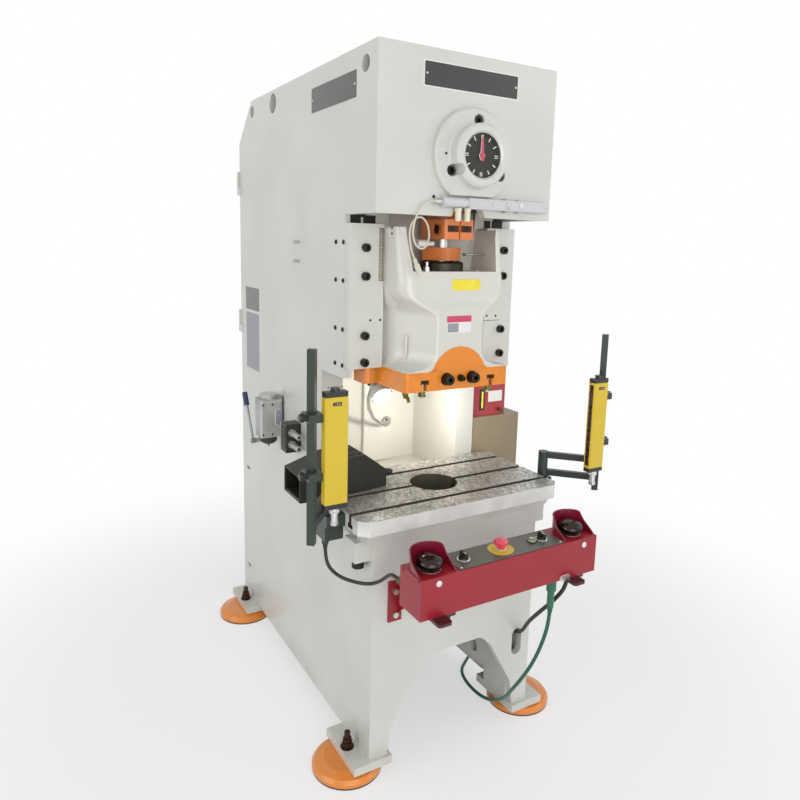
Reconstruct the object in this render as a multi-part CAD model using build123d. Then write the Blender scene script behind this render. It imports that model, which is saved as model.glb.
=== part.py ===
from build123d import *
from math import cos, pi, radians, sin, sqrt, tan
import os

# Mechanical stamping press, C-frame, millimetres, +Z up, X to the right, Y to the back.
# The press is built on its own lines: x = 0 on the press centre, y = 0 on the face of the head,
# z = 0 on the floor. All of it is moved to the middle of its own outline just before export.

os.makedirs("parts", exist_ok=True)

# Frame sizes
half_width = 293.0
side_thick = 28.0
inner_x = half_width - side_thick
frame_height = 2044.0
head_bottom = 1618.0
web_bottom = 1656.0
web_top = frame_height - 144.0
rear_y = 1146.0
top_rear_y = 993.0
bevel_z = frame_height - 140.0
bed_top = 727.0
bed_front_y = -21.0
bed_back_y = 4.0
head_plate_thick = 25.0
column_front_y = 337.0
column_back_y = 640.0
column_inner_x = 220.0
arm_front_y = 182.0
arm_bottom_z = 1150.0
foot_underside = 32.0
foot_thick = 25.0
side_bottom_z = 50.0
pad_radius = 104.6
pad_x = 326.0
pad_front_y = 57.0
pad_rear_y = 1033.0

# Bolster
bolster_half = 350.0
bolster_front = -63.0
bolster_back = 322.0
bolster_bottom = bed_top
bolster_top = 807.0
bolster_band_z = 764.0
bolster_hole_r = 75.0
bolster_hole_y = 132.0
slot_rows = (8.0, 130.0, 252.0)
slot_stem = 16.0
slot_head = 30.0

# Slide and its guides
gib_front = 152.0
gib_inner = 182.0
gib_outer = 290.0
gib_top = 1594.0
gib_bottom_left = 1181.0
gib_bottom_right = 1152.0
guide_gap = 0.3
wing_half = 225.0
wing_back = 250.0
slide_bottom = 1128.0
slide_top = 1640.0
band_top = 1179.0
band_half = 181.5
band_front = 17.0
body_half = 150.0
bulge_half = 178.0
shank_y = 136.0
shank_r = 20.0
shank_depth = 60.0
cavity_floor = 1465.0

# Drive
crank_z = 1779.0
throw = 40.0
rod_y = 130.0
journal_r = 45.0
pin_r = 40.0
running = 0.05
rod_half = 34.7
screw_r = 19.0
ball_r = 40.0
ball_z = 1424.0
flywheel_r = 230.0
rim_thick = 34.0
hub_r = 78.0
flywheel_y0 = 780.0
flywheel_y1 = 860.0
pulley_r = 62.0
motor_z = 1235.0

# Console
con_half = 296.0
con_front = -277.0
con_back = -176.0
con_bottom = 623.0
con_top = 731.0
con_wall = 3.0
con_mid = (con_front + con_back) / 2
palm_x = 240.0
stop_x = -12.0
start_x = 97.0
selector_left_x = -135.0
selector_right_x = 132.0

nodes = {}
cords = []


def block(x0, x1, y0, y1, z0, z1):
    return Pos((x0 + x1) / 2, (y0 + y1) / 2, (z0 + z1) / 2) * Box(x1 - x0, y1 - y0, z1 - z0)


def rod_x(r, y, z, x0, x1):
    return Pos((x0 + x1) / 2, y, z) * Rot(0, 90, 0) * Cylinder(r, x1 - x0)


def rod_y_axis(r, x, z, y0, y1):
    return Pos(x, (y0 + y1) / 2, z) * Rot(90, 0, 0) * Cylinder(r, y1 - y0)


def rod_z(r, x, y, z0, z1):
    return Pos(x, y, (z0 + z1) / 2) * Cylinder(r, z1 - z0)


def side_shape(points, x0, x1):
    face = make_face(Polyline(*[(x0, y, z) for y, z in points], close=True))
    return extrude(face, amount=x1 - x0, dir=(1, 0, 0))


def front_shape(points, y0, y1):
    face = make_face(Polyline(*[(x, y0, z) for x, z in points], close=True))
    return extrude(face, amount=y1 - y0, dir=(0, 1, 0))


def plan_shape(points, z0, z1):
    face = make_face(Polyline(*[(x, y, z0) for x, y in points], close=True))
    return extrude(face, amount=z1 - z0, dir=(0, 0, 1))


def turned_z(profile, x, y):
    face = make_face(Polyline(*[(x + r, y, z) for r, z in profile], close=True))
    return revolve(face, axis=Axis((x, y, 0), (0, 0, 1)))


def turned_y(profile, x, z):
    face = make_face(Polyline(*[(x + r, y, z) for r, y in profile], close=True))
    return revolve(face, axis=Axis((x, 0, z), (0, 1, 0)))


def flip(shape):
    return mirror(shape, about=Plane.YZ)


def hexagon_z(across, x, y, z0, z1):
    face = Pos(x, y, z0) * RegularPolygon(across / 2, 6, major_radius=False)
    return extrude(face, amount=z1 - z0, dir=(0, 0, 1))


def hexagon_y(across, x, z, y0, y1):
    face = Pos(x, y0, z) * Rot(90, 0, 0) * RegularPolygon(across / 2, 6, major_radius=False)
    return extrude(face, amount=y1 - y0, dir=(0, 1, 0))


def cable(name, points, diameter):
    runs = [(Vector(*b) - Vector(*a)).length for a, b in zip(points, points[1:])]
    radii = []
    for i in range(1, len(points) - 1):
        before = Vector(*points[i]) - Vector(*points[i - 1])
        after = Vector(*points[i + 1]) - Vector(*points[i])
        turn = radians(before.get_angle(after))
        radii.append(0.45 * min(runs[i - 1], runs[i]) / tan(turn / 2))
    path = FilletPolyline(*points, radius=radii)
    print(name, "length", round(path.length), "radii", [round(r) for r in radii])
    section = Plane(origin=path @ 0, z_dir=path % 0) * Circle(diameter / 2)
    cords.append(name)
    return sweep(section, path=path)


# Side plates with their columns, leg webs and foot plates, each one weldment
side_outline = [(bed_back_y, foot_underside + foot_thick), (bed_back_y, bed_top),
                (column_front_y, bed_top), (column_front_y, arm_bottom_z), (arm_front_y, arm_bottom_z),
                (arm_front_y, head_bottom), (head_plate_thick, head_bottom),
                (head_plate_thick, frame_height), (top_rear_y, frame_height), (rear_y, bevel_z),
                (rear_y, foot_underside + foot_thick), (950, foot_underside + foot_thick),
                (905, side_bottom_z), (188, side_bottom_z), (158, foot_underside + foot_thick)]
leg_web = [(bed_back_y, foot_underside + foot_thick), (bed_back_y, 330), (330, 330), (330, 95),
           (122, 109), (118, foot_underside + foot_thick)]
guide_x = wing_half + guide_gap
guide_y = wing_back + guide_gap
rail_plan = [(guide_x, arm_front_y), (inner_x, arm_front_y), (inner_x, column_front_y),
             (gib_inner, column_front_y), (gib_inner, guide_y), (guide_x, guide_y)]
lug_bolt_x = 314.0
lug_rows = (28.0, 262.0)
gib_screw_z = (1199.0, 1277.0, 1447.0, 1527.0)
gib_screw_x = (-242.0, 247.0)
screw_shank = 7.9
stud_places = ((pad_x, pad_front_y), (pad_x, pad_rear_y))
stud_r = 9.0


def side_weldment():
    plate = side_shape(side_outline, inner_x, half_width)
    column = block(column_inner_x, inner_x, column_front_y, column_back_y, 350, gib_top + 60)
    web = side_shape(leg_web, 225, 240)
    web -= rod_x(20, 183, 153, 220, 245)
    shelf = block(225, inner_x, bed_back_y, 330, 318, 330)
    feet = block(225, 348, -37, 158, foot_underside, foot_underside + foot_thick)
    feet += block(225, 348, 950, rear_y, foot_underside, foot_underside + foot_thick)
    body = plate + column + web + shelf + feet
    body += plan_shape(rail_plan, 1186, gib_top + 20)
    for y in lug_rows:
        lug = block(half_width, 340, y - 32, y + 32, bed_top - 60, bed_top)
        body += lug - rod_z(8.5, lug_bolt_x, y, bed_top - 70, bed_top + 5)
    for x, y in stud_places:
        body -= rod_z(stud_r + 0.5, x, y, 20, 120)
    for y, z, d in ((67, frame_height - 49, 44), (763, frame_height - 43, 65), (986, frame_height - 40, 40)):
        body -= rod_x(d / 2, y, z, inner_x - 5, half_width + 5)
    return body


right_side = side_weldment()
left_side = flip(side_weldment())
for z in (610.0, 180.0):
    left_side -= block(-300, -260, 1060, 1100, z - 7, z + 7)
right_side += block(240, inner_x, 200, 206, 200, 330) + rod_y_axis(9, 252.5, 270, 186, 201)
for z in gib_screw_z:
    left_side -= rod_y_axis(screw_shank + 0.3, gib_screw_x[0], z, arm_front_y - 1, arm_front_y + 34)
    right_side -= rod_y_axis(screw_shank + 0.3, gib_screw_x[1], z, arm_front_y - 1, arm_front_y + 34)
nodes["side_plate_left"] = left_side
nodes["side_plate_right"] = right_side

# Head front plate with the front bearing hole
bush_outer = 75.0
head = block(-half_width, half_width, 0, head_plate_thick, head_bottom, frame_height)
head -= rod_y_axis(bush_outer, 0, crank_z, -1, head_plate_thick + 1)
cover_screws = ((8.0, 1875.0), (-75.0, 1738.0), (88.0, 1734.0))
for x, z in cover_screws:
    head -= rod_y_axis(screw_shank + 0.3, x, z, -1, head_plate_thick + 1)
head -= rod_y_axis(62, 0, head_bottom - 24, -1, head_plate_thick + 1)
nodes["head_front_plate"] = head

# Top plate with the sloping rear plate welded to it
top = block(-inner_x, inner_x, head_plate_thick, top_rear_y, frame_height - 25, frame_height)
slope = [(top_rear_y, frame_height), (rear_y, bevel_z), (rear_y, bevel_z - 24),
         (rear_y - 25, bevel_z - 24), (rear_y - 25, bevel_z - 11), (top_rear_y - 10, frame_height - 25),
         (top_rear_y - 30, frame_height - 25), (top_rear_y - 30, frame_height)]
nodes["top_plate"] = top + side_shape(slope, -inner_x, inner_x)

# Rear plate with the motor shelf
shelf_z = 1100.0
rear = block(-inner_x, inner_x, rear_y - 25, rear_y, 350, shelf_z)
rear += block(-inner_x, inner_x, 850, rear_y - 25, shelf_z - 20, shelf_z)
rear += side_shape([(860, shelf_z - 20), (rear_y - 25, shelf_z - 20), (rear_y - 25, shelf_z - 240)], -8, 8)
nodes["rear_plate"] = rear

# Throat back plate
throat = block(-column_inner_x, column_inner_x, 625, column_back_y, 350, 1654)
nodes["throat_back_plate"] = throat + block(-5, 107, 605, 625, bed_top + 3, 1150)

# Bed plate with the scrap hole, and its cross ribs
bed = block(-inner_x, inner_x, bed_back_y, column_front_y, bed_top - 37, bed_top)
bed += block(-column_inner_x, column_inner_x, column_front_y, 625, bed_top - 37, bed_top)
bed -= rod_z(100, 0, bolster_hole_y, bed_top - 50, bed_top + 5)
nodes["bed_plate"] = bed

# Lower front plate with the arch and the cable slot
arch = [(-232, foot_underside + foot_thick - 5), (-232, 84), (-222, 140), (-138, 292), (-96, 332),
        (96, 332), (138, 292), (222, 140), (232, 84), (232, foot_underside + foot_thick - 5)]
front = block(-half_width, half_width, bed_front_y, bed_back_y, foot_underside + foot_thick, bed_top)
opening = front_shape(arch, bed_front_y - 5, bed_back_y + 5)
arch_edges = opening.edges().filter_by(Axis.Y).group_by(Axis.Z)
opening = fillet(arch_edges[-1], 38)
leg_slot = block(222.5, 261.5, bed_front_y - 5, bed_back_y + 5, 229 + 19.5, 320 - 19.5)
leg_slot += rod_y_axis(19.5, 242, 229 + 19.5, bed_front_y - 5, bed_back_y + 5)
leg_slot += rod_y_axis(19.5, 242, 320 - 19.5, bed_front_y - 5, bed_back_y + 5)
flange_bolts = [(s * 221.5, z) for s in (-1, 1) for z in (498.0, 569.0)]
front = front - opening - leg_slot
for x, z in flange_bolts:
    front -= rod_y_axis(6.3, x, z, bed_front_y - 1, bed_back_y + 1)
nodes["lower_front_plate"] = front

# Levelling pads and anchor studs, four alike
pad_profile = [(0, 0), (pad_radius, 0), (pad_radius, 14), (pad_radius - 8, 24), (70, foot_underside),
               (0, foot_underside)]
nut_z = foot_underside + foot_thick
pads = []
studs = []
for side in (-1, 1):
    for x, y in stud_places:
        pad = turned_z(pad_profile, side * x, y)
        pad -= rod_z(stud_r + 0.5, side * x, y, 12, 60)
        pads.append(pad)
        stud = rod_z(stud_r, side * x, y, 14, 107) + rod_z(20, side * x, y, nut_z, nut_z + 3)
        stud += hexagon_z(28, side * x, y, nut_z + 3, nut_z + 19)
        stud += hexagon_z(24, side * x, y, nut_z + 19, nut_z + 30)
        studs.append(stud)
nodes["floor_pads"] = Compound(pads)
nodes["anchor_studs"] = Compound(studs)

# Bolster: slab with an undercut front, T-slots along X and the scrap hole
lower_half = 322.0
slab = block(-bolster_half, bolster_half, bolster_front, bolster_back, bolster_band_z, bolster_top)
under = side_shape([(-24, bolster_bottom), (bolster_back - 24, bolster_bottom),
                    (bolster_back, bolster_band_z), (-50, bolster_band_z)], -lower_half, lower_half)
bolster = slab + under
bolster -= rod_z(bolster_hole_r, 0, bolster_hole_y, bolster_bottom - 5, bolster_top + 5)
for y in slot_rows:
    bolster -= block(-360, 360, y - slot_stem / 2, y + slot_stem / 2, bolster_top - 24, bolster_top + 5)
    bolster -= block(-360, 360, y - slot_head / 2, y + slot_head / 2, bolster_top - 38, bolster_top - 24)
corner = [(bolster_half - 26, bolster_front - 1), (bolster_half + 1, bolster_front - 1),
          (bolster_half + 1, bolster_front + 26)]
bolster -= plan_shape(corner, bolster_band_z - 1, bolster_top + 1)
bolster -= flip(plan_shape(corner, bolster_band_z - 1, bolster_top + 1))


# Bolster bolts up through the bed lugs, four alike
bolts = []
for side in (-1, 1):
    for y in lug_rows:
        x = side * lug_bolt_x
        bolster -= rod_z(8.5, x, y, bolster_bottom - 5, bolster_band_z - 6)
        bolt = rod_z(8, x, y, bed_top - 60, bolster_band_z - 10)
        bolt += rod_z(17.5, x, y, bed_top - 87, bed_top - 60)
        bolt -= hexagon_z(14, x, y, bed_top - 88, bed_top - 74)
        bolts.append(bolt)
nodes["bolster_bolts"] = Compound(bolts)
nodes["bolster"] = bolster

# Gibs and the places of the screws that hold them
gib_left = block(-gib_outer, -gib_inner, gib_front, arm_front_y, gib_bottom_left, gib_top)
gib_right = block(gib_inner, gib_outer, gib_front, arm_front_y, gib_bottom_right, gib_top)
screws = []
for z in gib_screw_z:
    gib_left -= rod_y_axis(screw_shank + 0.3, gib_screw_x[0], z, gib_front - 1, arm_front_y + 1)
    gib_right -= rod_y_axis(screw_shank + 0.3, gib_screw_x[1], z, gib_front - 1, arm_front_y + 1)
    screws += [(x, z, gib_front) for x in gib_screw_x]
nodes["gibs"] = Compound([gib_left, gib_right])

# Dial cover: flat-cut round cover and the dial housing on it, one casting
cover_r = 128.0
housing_r = 84.0
dial_r = 59.0
dial_floor = -48.0
spindle_r = 6.0
dial_profile = [(spindle_r + 0.1, 0), (cover_r, 0), (cover_r, -16), (cover_r - 5, -21),
                (housing_r + 5, -21), (housing_r, -26), (housing_r, -54), (housing_r - 6, -60),
                (dial_r + 4, -60), (dial_r, -56), (dial_r, dial_floor), (spindle_r + 0.1, dial_floor)]
cover = turned_y(dial_profile, 0, crank_z)
cover -= block(-200, 200, -100, 10, crank_z - 200, 1674)
for x, z in cover_screws:
    cover -= rod_y_axis(screw_shank + 0.3, x, z, -40, 1)
    cover -= rod_y_axis(16, x, z, -60, -6)
    screws.append((x, z, -6.0))
nodes["dial_cover"] = cover

# Socket screws alike on the gibs and the dial cover
made = []
for x, z, seat in screws:
    screw = rod_y_axis(12, x, z, seat - 12, seat) + rod_y_axis(screw_shank, x, z, seat, seat + 58)
    screw -= hexagon_y(12, x, z, seat - 12.5, seat - 5)
    made.append(screw)
nodes["frame_screws"] = Compound(made)

# Duct along the lower edge of the head, with its conduit stub and two hanging sensor plugs
duct_y = -15.0
duct = block(-68, 275, -28, 0, 1644, 1664)
duct += rod_x(8, duct_y, 1655, -122, -68) + rod_x(11, duct_y, 1655, -90, -68)
for x in (204, 236):
    duct += rod_x(13, duct_y, 1654, x - 5, x + 5)
for x in (-46, -16):
    duct += rod_z(8.5, x, duct_y, 1604, 1644) + Pos(x, duct_y, 1604) * Sphere(8.5)
duct -= block(-400, 400, 0, 40, 1500, 1700)
nodes["head_duct"] = duct

# Crank bearings: front bush, middle web and rear web across the frame
bush = turned_y([(journal_r + running, 0), (bush_outer - 0.05, 0), (bush_outer - 0.05, 62),
                 (journal_r + running, 62)], 0, crank_z)
webs = [bush]
for y0, y1 in ((205, 245), (600, 624)):
    web = block(-inner_x if y0 < 300 else -column_inner_x, inner_x if y0 < 300 else column_inner_x,
                y0, y1, web_bottom, web_top)
    web += rod_y_axis(80, 0, crank_z, y0 - 5, y1 + 40 if y0 < 300 else y1 + 30)
    web -= rod_y_axis(journal_r + running, 0, crank_z, y0 - 20, y1 + 60)
    webs.append(web)
nodes["crank_bearings"] = Compound(webs)


# Crankshaft: front journal and web, rear web and long shaft; the pin rides with the rod
def crank_web(y0, y1):
    web = rod_y_axis(62, 0, crank_z, y0, y1) + rod_y_axis(58, 0, crank_z + throw, y0, y1)
    return web + block(-58, 58, y0, y1, crank_z, crank_z + throw)


front_crank = rod_y_axis(journal_r, 0, crank_z, 6, 66) + crank_web(65, rod_y - rod_half - 0.3)
front_crank += rod_y_axis(spindle_r, 0, crank_z, dial_floor - 3, 7)
rear_crank = crank_web(rod_y + rod_half + 0.3, 196) + rod_y_axis(journal_r, 0, crank_z, 195, 890)
rear_crank += rod_y_axis(66, 0, crank_z, 890, 925)
rear_crank = rear_crank + rod_y_axis(60, 0, crank_z, 690, 735)
nodes["crankshaft"] = Compound([front_crank, rear_crank])

# Dial pointer on the crank spindle
pointer = front_shape([(-4.5, crank_z - 14), (4.5, crank_z - 14), (2.5, crank_z + 44),
                       (0, crank_z + 50), (-2.5, crank_z + 44)], dial_floor - 5, dial_floor - 3)
pointer += rod_y_axis(8, 0, crank_z, dial_floor - 6.5, dial_floor - 3)
nodes["dial_pointer"] = pointer

# Flywheel, motor pulley, belt and motor
groove = 6.0
rim_inner = flywheel_r - rim_thick
wheel_profile = [(journal_r + running, flywheel_y0 - 30), (hub_r, flywheel_y0 - 30),
                 (hub_r, flywheel_y0 + 26), (rim_inner, flywheel_y0 + 26), (rim_inner, flywheel_y0),
                 (flywheel_r, flywheel_y0)]
for i in range(4):
    base = flywheel_y0 + 8 + i * 18
    wheel_profile += [(flywheel_r, base), (flywheel_r - groove, base + 4),
                      (flywheel_r - groove, base + 8), (flywheel_r, base + 12)]
wheel_profile += [(flywheel_r, flywheel_y1), (rim_inner, flywheel_y1), (rim_inner, flywheel_y1 - 26),
                  (hub_r, flywheel_y1 - 26), (hub_r, flywheel_y1 + 26), (journal_r + running, flywheel_y1 + 26)]
flywheel = turned_y(wheel_profile, 0, crank_z)
lightening_ring = (hub_r + rim_inner) / 2
lightening_r = (rim_inner - hub_r) / 2 - 25
for k in range(6):
    place = Pos(0, (flywheel_y0 + flywheel_y1) / 2, crank_z) * Rot(0, 60 * k, 0) * Pos(lightening_ring, 0, 0)
    flywheel -= place * Rot(90, 0, 0) * Cylinder(lightening_r, 90)
nodes["flywheel"] = flywheel

pulley_profile = [(14.05, flywheel_y0), (pulley_r, flywheel_y0)]
for i in range(4):
    base = flywheel_y0 + 8 + i * 18
    pulley_profile += [(pulley_r, base), (pulley_r - groove, base + 4),
                       (pulley_r - groove, base + 8), (pulley_r, base + 12)]
pulley_profile += [(pulley_r, flywheel_y1), (14.05, flywheel_y1)]
nodes["motor_pulley"] = turned_y(pulley_profile, 0, motor_z)

motor = rod_y_axis(98, 0, motor_z, 900, 1096)
for k in range(24):
    fin = Pos(0, 985, motor_z) * Rot(0, 15 * k, 0) * Pos(100, 0, 0) * Box(14, 150, 4)
    motor += fin
motor += rod_y_axis(103, 0, motor_z, 885, 902) + rod_y_axis(40, 0, motor_z, 874, 886)
motor += rod_y_axis(14, 0, motor_z, flywheel_y0 - 6, 880)
motor += rod_y_axis(17, 0, motor_z, flywheel_y1 + 0.5, 876)
for x in (-70, 70):
    motor += block(x - 18, x + 18, 920, 1060, shelf_z, motor_z - 60)
motor += block(98, 140, 950, 1030, motor_z - 30, motor_z + 40)
nodes["drive_motor"] = motor

belt_gap = 1.0
centre = crank_z - motor_z
tilt = (flywheel_r - pulley_r) / centre
side_z = sqrt(1 - tilt * tilt)


def belt_outline(extra, y0, y1):
    big = flywheel_r + extra
    small = pulley_r + extra
    shape = rod_y_axis(big, 0, crank_z, y0, y1) + rod_y_axis(small, 0, motor_z, y0, y1)
    tangents = [(-big * side_z, crank_z - big * tilt), (big * side_z, crank_z - big * tilt),
                (small * side_z, motor_z - small * tilt), (-small * side_z, motor_z - small * tilt)]
    return shape + front_shape(tangents, y0, y1)


belt = belt_outline(belt_gap + 7, flywheel_y0 + 6, flywheel_y1 - 6)
belt -= belt_outline(belt_gap, flywheel_y0 + 4, flywheel_y1 - 4)
nodes["drive_belt"] = belt

# Connecting rod with its pin, collar and height screw
rod_bottom = 1556.0
clamp_top = 1612.0
pin_z = crank_z + throw
rod = rod_y_axis(76, 0, pin_z, rod_y - rod_half, rod_y + rod_half)
rod += front_shape([(-34, clamp_top - 8), (34, clamp_top - 8), (48, pin_z - 50), (-48, pin_z - 50)],
                   rod_y - rod_half, rod_y + rod_half)
clamp_front = 40.0
clamp_plan = [(-50, clamp_front), (50, clamp_front), (50, rod_y + 40), (-50, rod_y + 40)]
clamp = plan_shape(clamp_plan, rod_bottom, clamp_top)
clamp = fillet(clamp.edges().filter_by(Axis.Z).group_by(Axis.Y)[0], 9)
rod += clamp
rod -= rod_y_axis(pin_r + running, 0, pin_z, rod_y - 60, rod_y + 60)
rod -= rod_z(screw_r + running, 0, rod_y, rod_bottom - 5, 1724)
rod -= block(-2, 2, clamp_front - 5, rod_y, rod_bottom - 5, clamp_top + 5)
rod -= block(-38, 38, clamp_front - 5, clamp_front + 7, 1577, 1595)
for x in (-22, 22):
    rod += rod_y_axis(9, x, 1586, clamp_front + 1, clamp_front + 9)
rod -= block(-51, -44, 62, 98, 1568, 1600)
rod += rod_x(10, 80, 1584, -49, -42)
crank_pin = rod_y_axis(pin_r, 0, pin_z, rod_y - rod_half, rod_y + rod_half)
nodes["con_rod"] = Compound([rod, crank_pin])

screw = rod_z(screw_r, 0, rod_y, ball_z, 1690) + Pos(0, rod_y, ball_z) * Sphere(ball_r)
screw += rod_z(24, 0, rod_y, ball_z, cavity_floor + 29)
nodes["adjusting_screw"] = screw
collar_z0 = 1495.3
collar_z1 = 1532.0
collar = Pos(0, rod_y, (collar_z0 + collar_z1) / 2) * Rot(0, 0, 32) * Box(85, 85, collar_z1 - collar_z0)
collar -= rod_z(screw_r + running, 0, rod_y, collar_z0 - 5, collar_z1 + 5)
collar -= rod_z(24 + running, 0, rod_y, collar_z0 - 5, collar_z0 - 0.01)
nodes["rod_collar"] = collar
ring = turned_z([(24.3, cavity_floor), (65, cavity_floor), (65, cavity_floor + 22),
                 (60, cavity_floor + 27), (24.3, cavity_floor + 27)], 0, rod_y)
for k in range(6):
    a = radians(60 * k + 15)
    ring += rod_z(6, 48 * cos(a), rod_y + 48 * sin(a), cavity_floor + 26, cavity_floor + 29.5)
nodes["ball_retainer"] = ring

# Slide: wings, band, lower body, boss and the wide upper box around the rod
wings = block(-wing_half, wing_half, arm_front_y + guide_gap, wing_back, slide_bottom, slide_top)
band = block(-band_half, band_half, band_front, arm_front_y + 10, slide_bottom, band_top)
band = fillet(band.edges().filter_by(Axis.Z).group_by(Axis.Y)[0], 14)
flank = block(-body_half, body_half, 58, arm_front_y + 10, band_top, 1420)
flank = fillet(flank.edges().filter_by(Axis.Z).group_by(Axis.Y)[0], 16)
boss = block(-78, 78, 5, 90, band_top, 1400)
boss = fillet(boss.edges().filter_by(Axis.Z).group_by(Axis.Y)[0], 12)
boss_top = [(4, 1346), (90, 1424), (90, 1440), (4, 1440)]
boss -= side_shape(boss_top, -100, 100)
bulge_side = [(192, 1340), (110, 1352), (62, 1372), (46, 1402), (44, 1440), (74, slide_top - 24),
              (76, slide_top), (192, slide_top)]
bulge = side_shape(bulge_side, -bulge_half, bulge_half)
for s in (-1, 1):
    lower = [(s * 181, 1338), (s * 140, 1338), (s * 158, 1356), (s * 170, 1380), (s * 178.1, 1412),
             (s * 181, 1412)]
    bulge -= front_shape(lower, 0, 200)
slide = wings + band + flank + boss + bulge
cavity = [(-144, cavity_floor), (144, cavity_floor), (156, slide_top + 5), (-156, slide_top + 5)]
slide -= front_shape(cavity, 0, 205)
slide -= Pos(0, rod_y, ball_z) * Sphere(ball_r + 0.3)
slide -= rod_z(24.3, 0, rod_y, ball_z, cavity_floor + 1)
tongue_half = 60.0
cap_front = 5.0
tongue_top = 1192.0
slide -= block(-tongue_half, tongue_half, 0, shank_y, slide_bottom - 5, tongue_top)
hump = [(-97, slide_bottom)]
for i in range(13):
    a = pi - pi * i / 12
    hump.append((97 * cos(a), 1156 + 97 * sin(a)))
hump.append((97, slide_bottom))
slide -= front_shape([(hump[0][0], slide_bottom - 5)] + hump[1:-1] + [(97, slide_bottom - 5)], -5, 34)
slide -= rod_z(shank_r, 0, shank_y, slide_bottom - 5, slide_bottom + shank_depth)
slide -= block(-body_half - 40, body_half + 40, 62, 74, 1205, 1276)
for x in (-116, 116):
    slide -= block(x - 7, x + 7, band_front - 5, wing_back + 5, slide_bottom - 5, slide_bottom + 20)
    slide -= block(x - 14, x + 14, band_front - 5, wing_back + 5, slide_bottom + 20, slide_bottom + 33)
nut_x = 44.5
nut_row_z = 1160.0
for x in (-nut_x, nut_x):
    slide -= rod_y_axis(10.3, x, nut_row_z, shank_y - 10, shank_y + 44)
nodes["slide_body"] = slide

# Shank clamp cap with its two nuts and set screw
cap = front_shape(hump, cap_front, 34)
cap += block(-tongue_half, tongue_half, 33, shank_y - 0.3, slide_bottom, tongue_top)
cap -= rod_z(shank_r, 0, shank_y, slide_bottom - 5, slide_bottom + shank_depth)
for x in (-nut_x, nut_x):
    cap -= rod_y_axis(10.3, x, nut_row_z, 0, shank_y + 5)
cap -= rod_y_axis(8.3, 4, nut_row_z, 0, shank_y - 30)
nodes["slide_cap"] = cap
parts = []
for x in (-nut_x, nut_x):
    stud = rod_y_axis(10, x, nut_row_z, cap_front - 14, shank_y + 42)
    stud += rod_y_axis(17, x, nut_row_z, cap_front - 12, cap_front)
    parts.append(stud)
pinch = rod_y_axis(8, 4, nut_row_z, cap_front - 8, shank_y - 32)
pinch += hexagon_y(14, 4, nut_row_z, cap_front - 12, cap_front - 8)
parts.append(pinch)
nodes["slide_nuts"] = Compound(parts)

# Console box, panel, hoods and brackets
shell = block(-con_half, con_half, con_front, con_back, con_bottom, con_top)
shell -= block(-con_half + con_wall, con_half - con_wall, con_front + con_wall, con_back - con_wall,
               con_bottom + con_wall, con_top - con_wall)
panel_half = 176.0
panel_top = con_top + 2.0
panel = block(-panel_half, panel_half, con_front + 4, con_back - 4, con_top, panel_top)
button_r = 11.0
for x in (stop_x, start_x, selector_left_x, selector_right_x):
    hole = rod_z(button_r + 0.1, x, con_mid, con_top - 10, con_top + 10)
    shell -= hole
    panel -= hole
for s in (-1, 1):
    shell -= rod_z(9.1, s * palm_x, con_mid, con_top - 10, con_top + 10)
gland_x = 182.0
gland_y = -226.0
gland_end = 515.0
lead_x = 228.0
lead_y = -240.0
curtain_in = (-288.0, 680.0)
shell += rod_z(14, gland_x, gland_y, 566, con_bottom) + rod_z(10, gland_x, gland_y, gland_end, 566)
shell += rod_z(9, lead_x, lead_y, con_bottom - 14, con_bottom)
shell += rod_y_axis(9, curtain_in[0], curtain_in[1], con_back, con_back + 16)
nodes["console_box"] = shell
hood_rx = 55.0
hood_ry = 47.5
hood_high = 45.0
hoods = []
for s in (-1, 1):
    outer = Pos(s * palm_x, con_mid, con_top) * Ellipse(hood_rx, hood_ry)
    inner = Pos(s * palm_x, con_mid, con_top) * Ellipse(hood_rx - 2.5, hood_ry - 2.5)
    sheet = extrude(outer, amount=hood_high, dir=(0, 0, 1)) - extrude(inner, amount=hood_high, dir=(0, 0, 1))
    cut = [(con_front - 5, con_top - 1), (con_mid - 44, con_top - 1), (con_mid - 30, con_top + 20),
           (con_mid - 8, con_top + 36), (con_mid + 18, con_top + hood_high),
           (con_mid + 18, con_top + hood_high + 5), (con_front - 5, con_top + hood_high + 5)]
    hoods.append(sheet - side_shape(cut, s * palm_x - 60, s * palm_x + 60))
nodes["palm_hoods"] = Compound(hoods)
arms = []
nose_out = 35.0
nose_wide = 42.0
for s in (-1, 1):
    a, b = sorted((s * 200, s * 243))
    arm = block(a, b, bed_front_y - 6, bed_front_y, 477, 600)
    p, q = sorted((s * 205, s * 213))
    arm += side_shape([(bed_front_y - 6, 500), (bed_front_y - 6, 600), (-90, 615), (con_front, 615),
                       (con_front, 605), (-120, 590)], p, q)
    u, v = sorted((s * 189, s * 252))
    nose_x = -241 if s < 0 else 209
    nose = extrude(Pos(nose_x, con_front + (40 - nose_out) / 2, 615) *
                   RectangleRounded(nose_wide, nose_out + 40, 9), amount=8, dir=(0, 0, 1))
    arm += block(u, v, con_front, con_back, 615, con_bottom) + nose
    for x, z in flange_bolts:
        if x * s > 0:
            arm -= rod_y_axis(6.3, x, z, bed_front_y - 10, bed_front_y + 1)
            arm += hexagon_y(16, x, z, bed_front_y - 14, bed_front_y - 6)
            arm += rod_y_axis(6, x, z, bed_front_y - 7, bed_back_y + 8)
    if s > 0:
        for x, y, r in ((gland_x, gland_y, 15), (lead_x, lead_y, 10)):
            arm -= rod_z(r, x, y, 590, con_bottom + 2)
    arms.append(arm)
nodes["console_arms"] = Compound(arms)


# Console buttons
def palm_button(x):
    profile = [(0, con_top - 20), (9, con_top - 20), (9, con_top + 7.5), (30, con_top + 8.5),
               (33, con_top + 15), (30, con_top + 24), (20, con_top + 29.5), (0, con_top + 31)]
    return turned_z(profile, x, con_mid)


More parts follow.
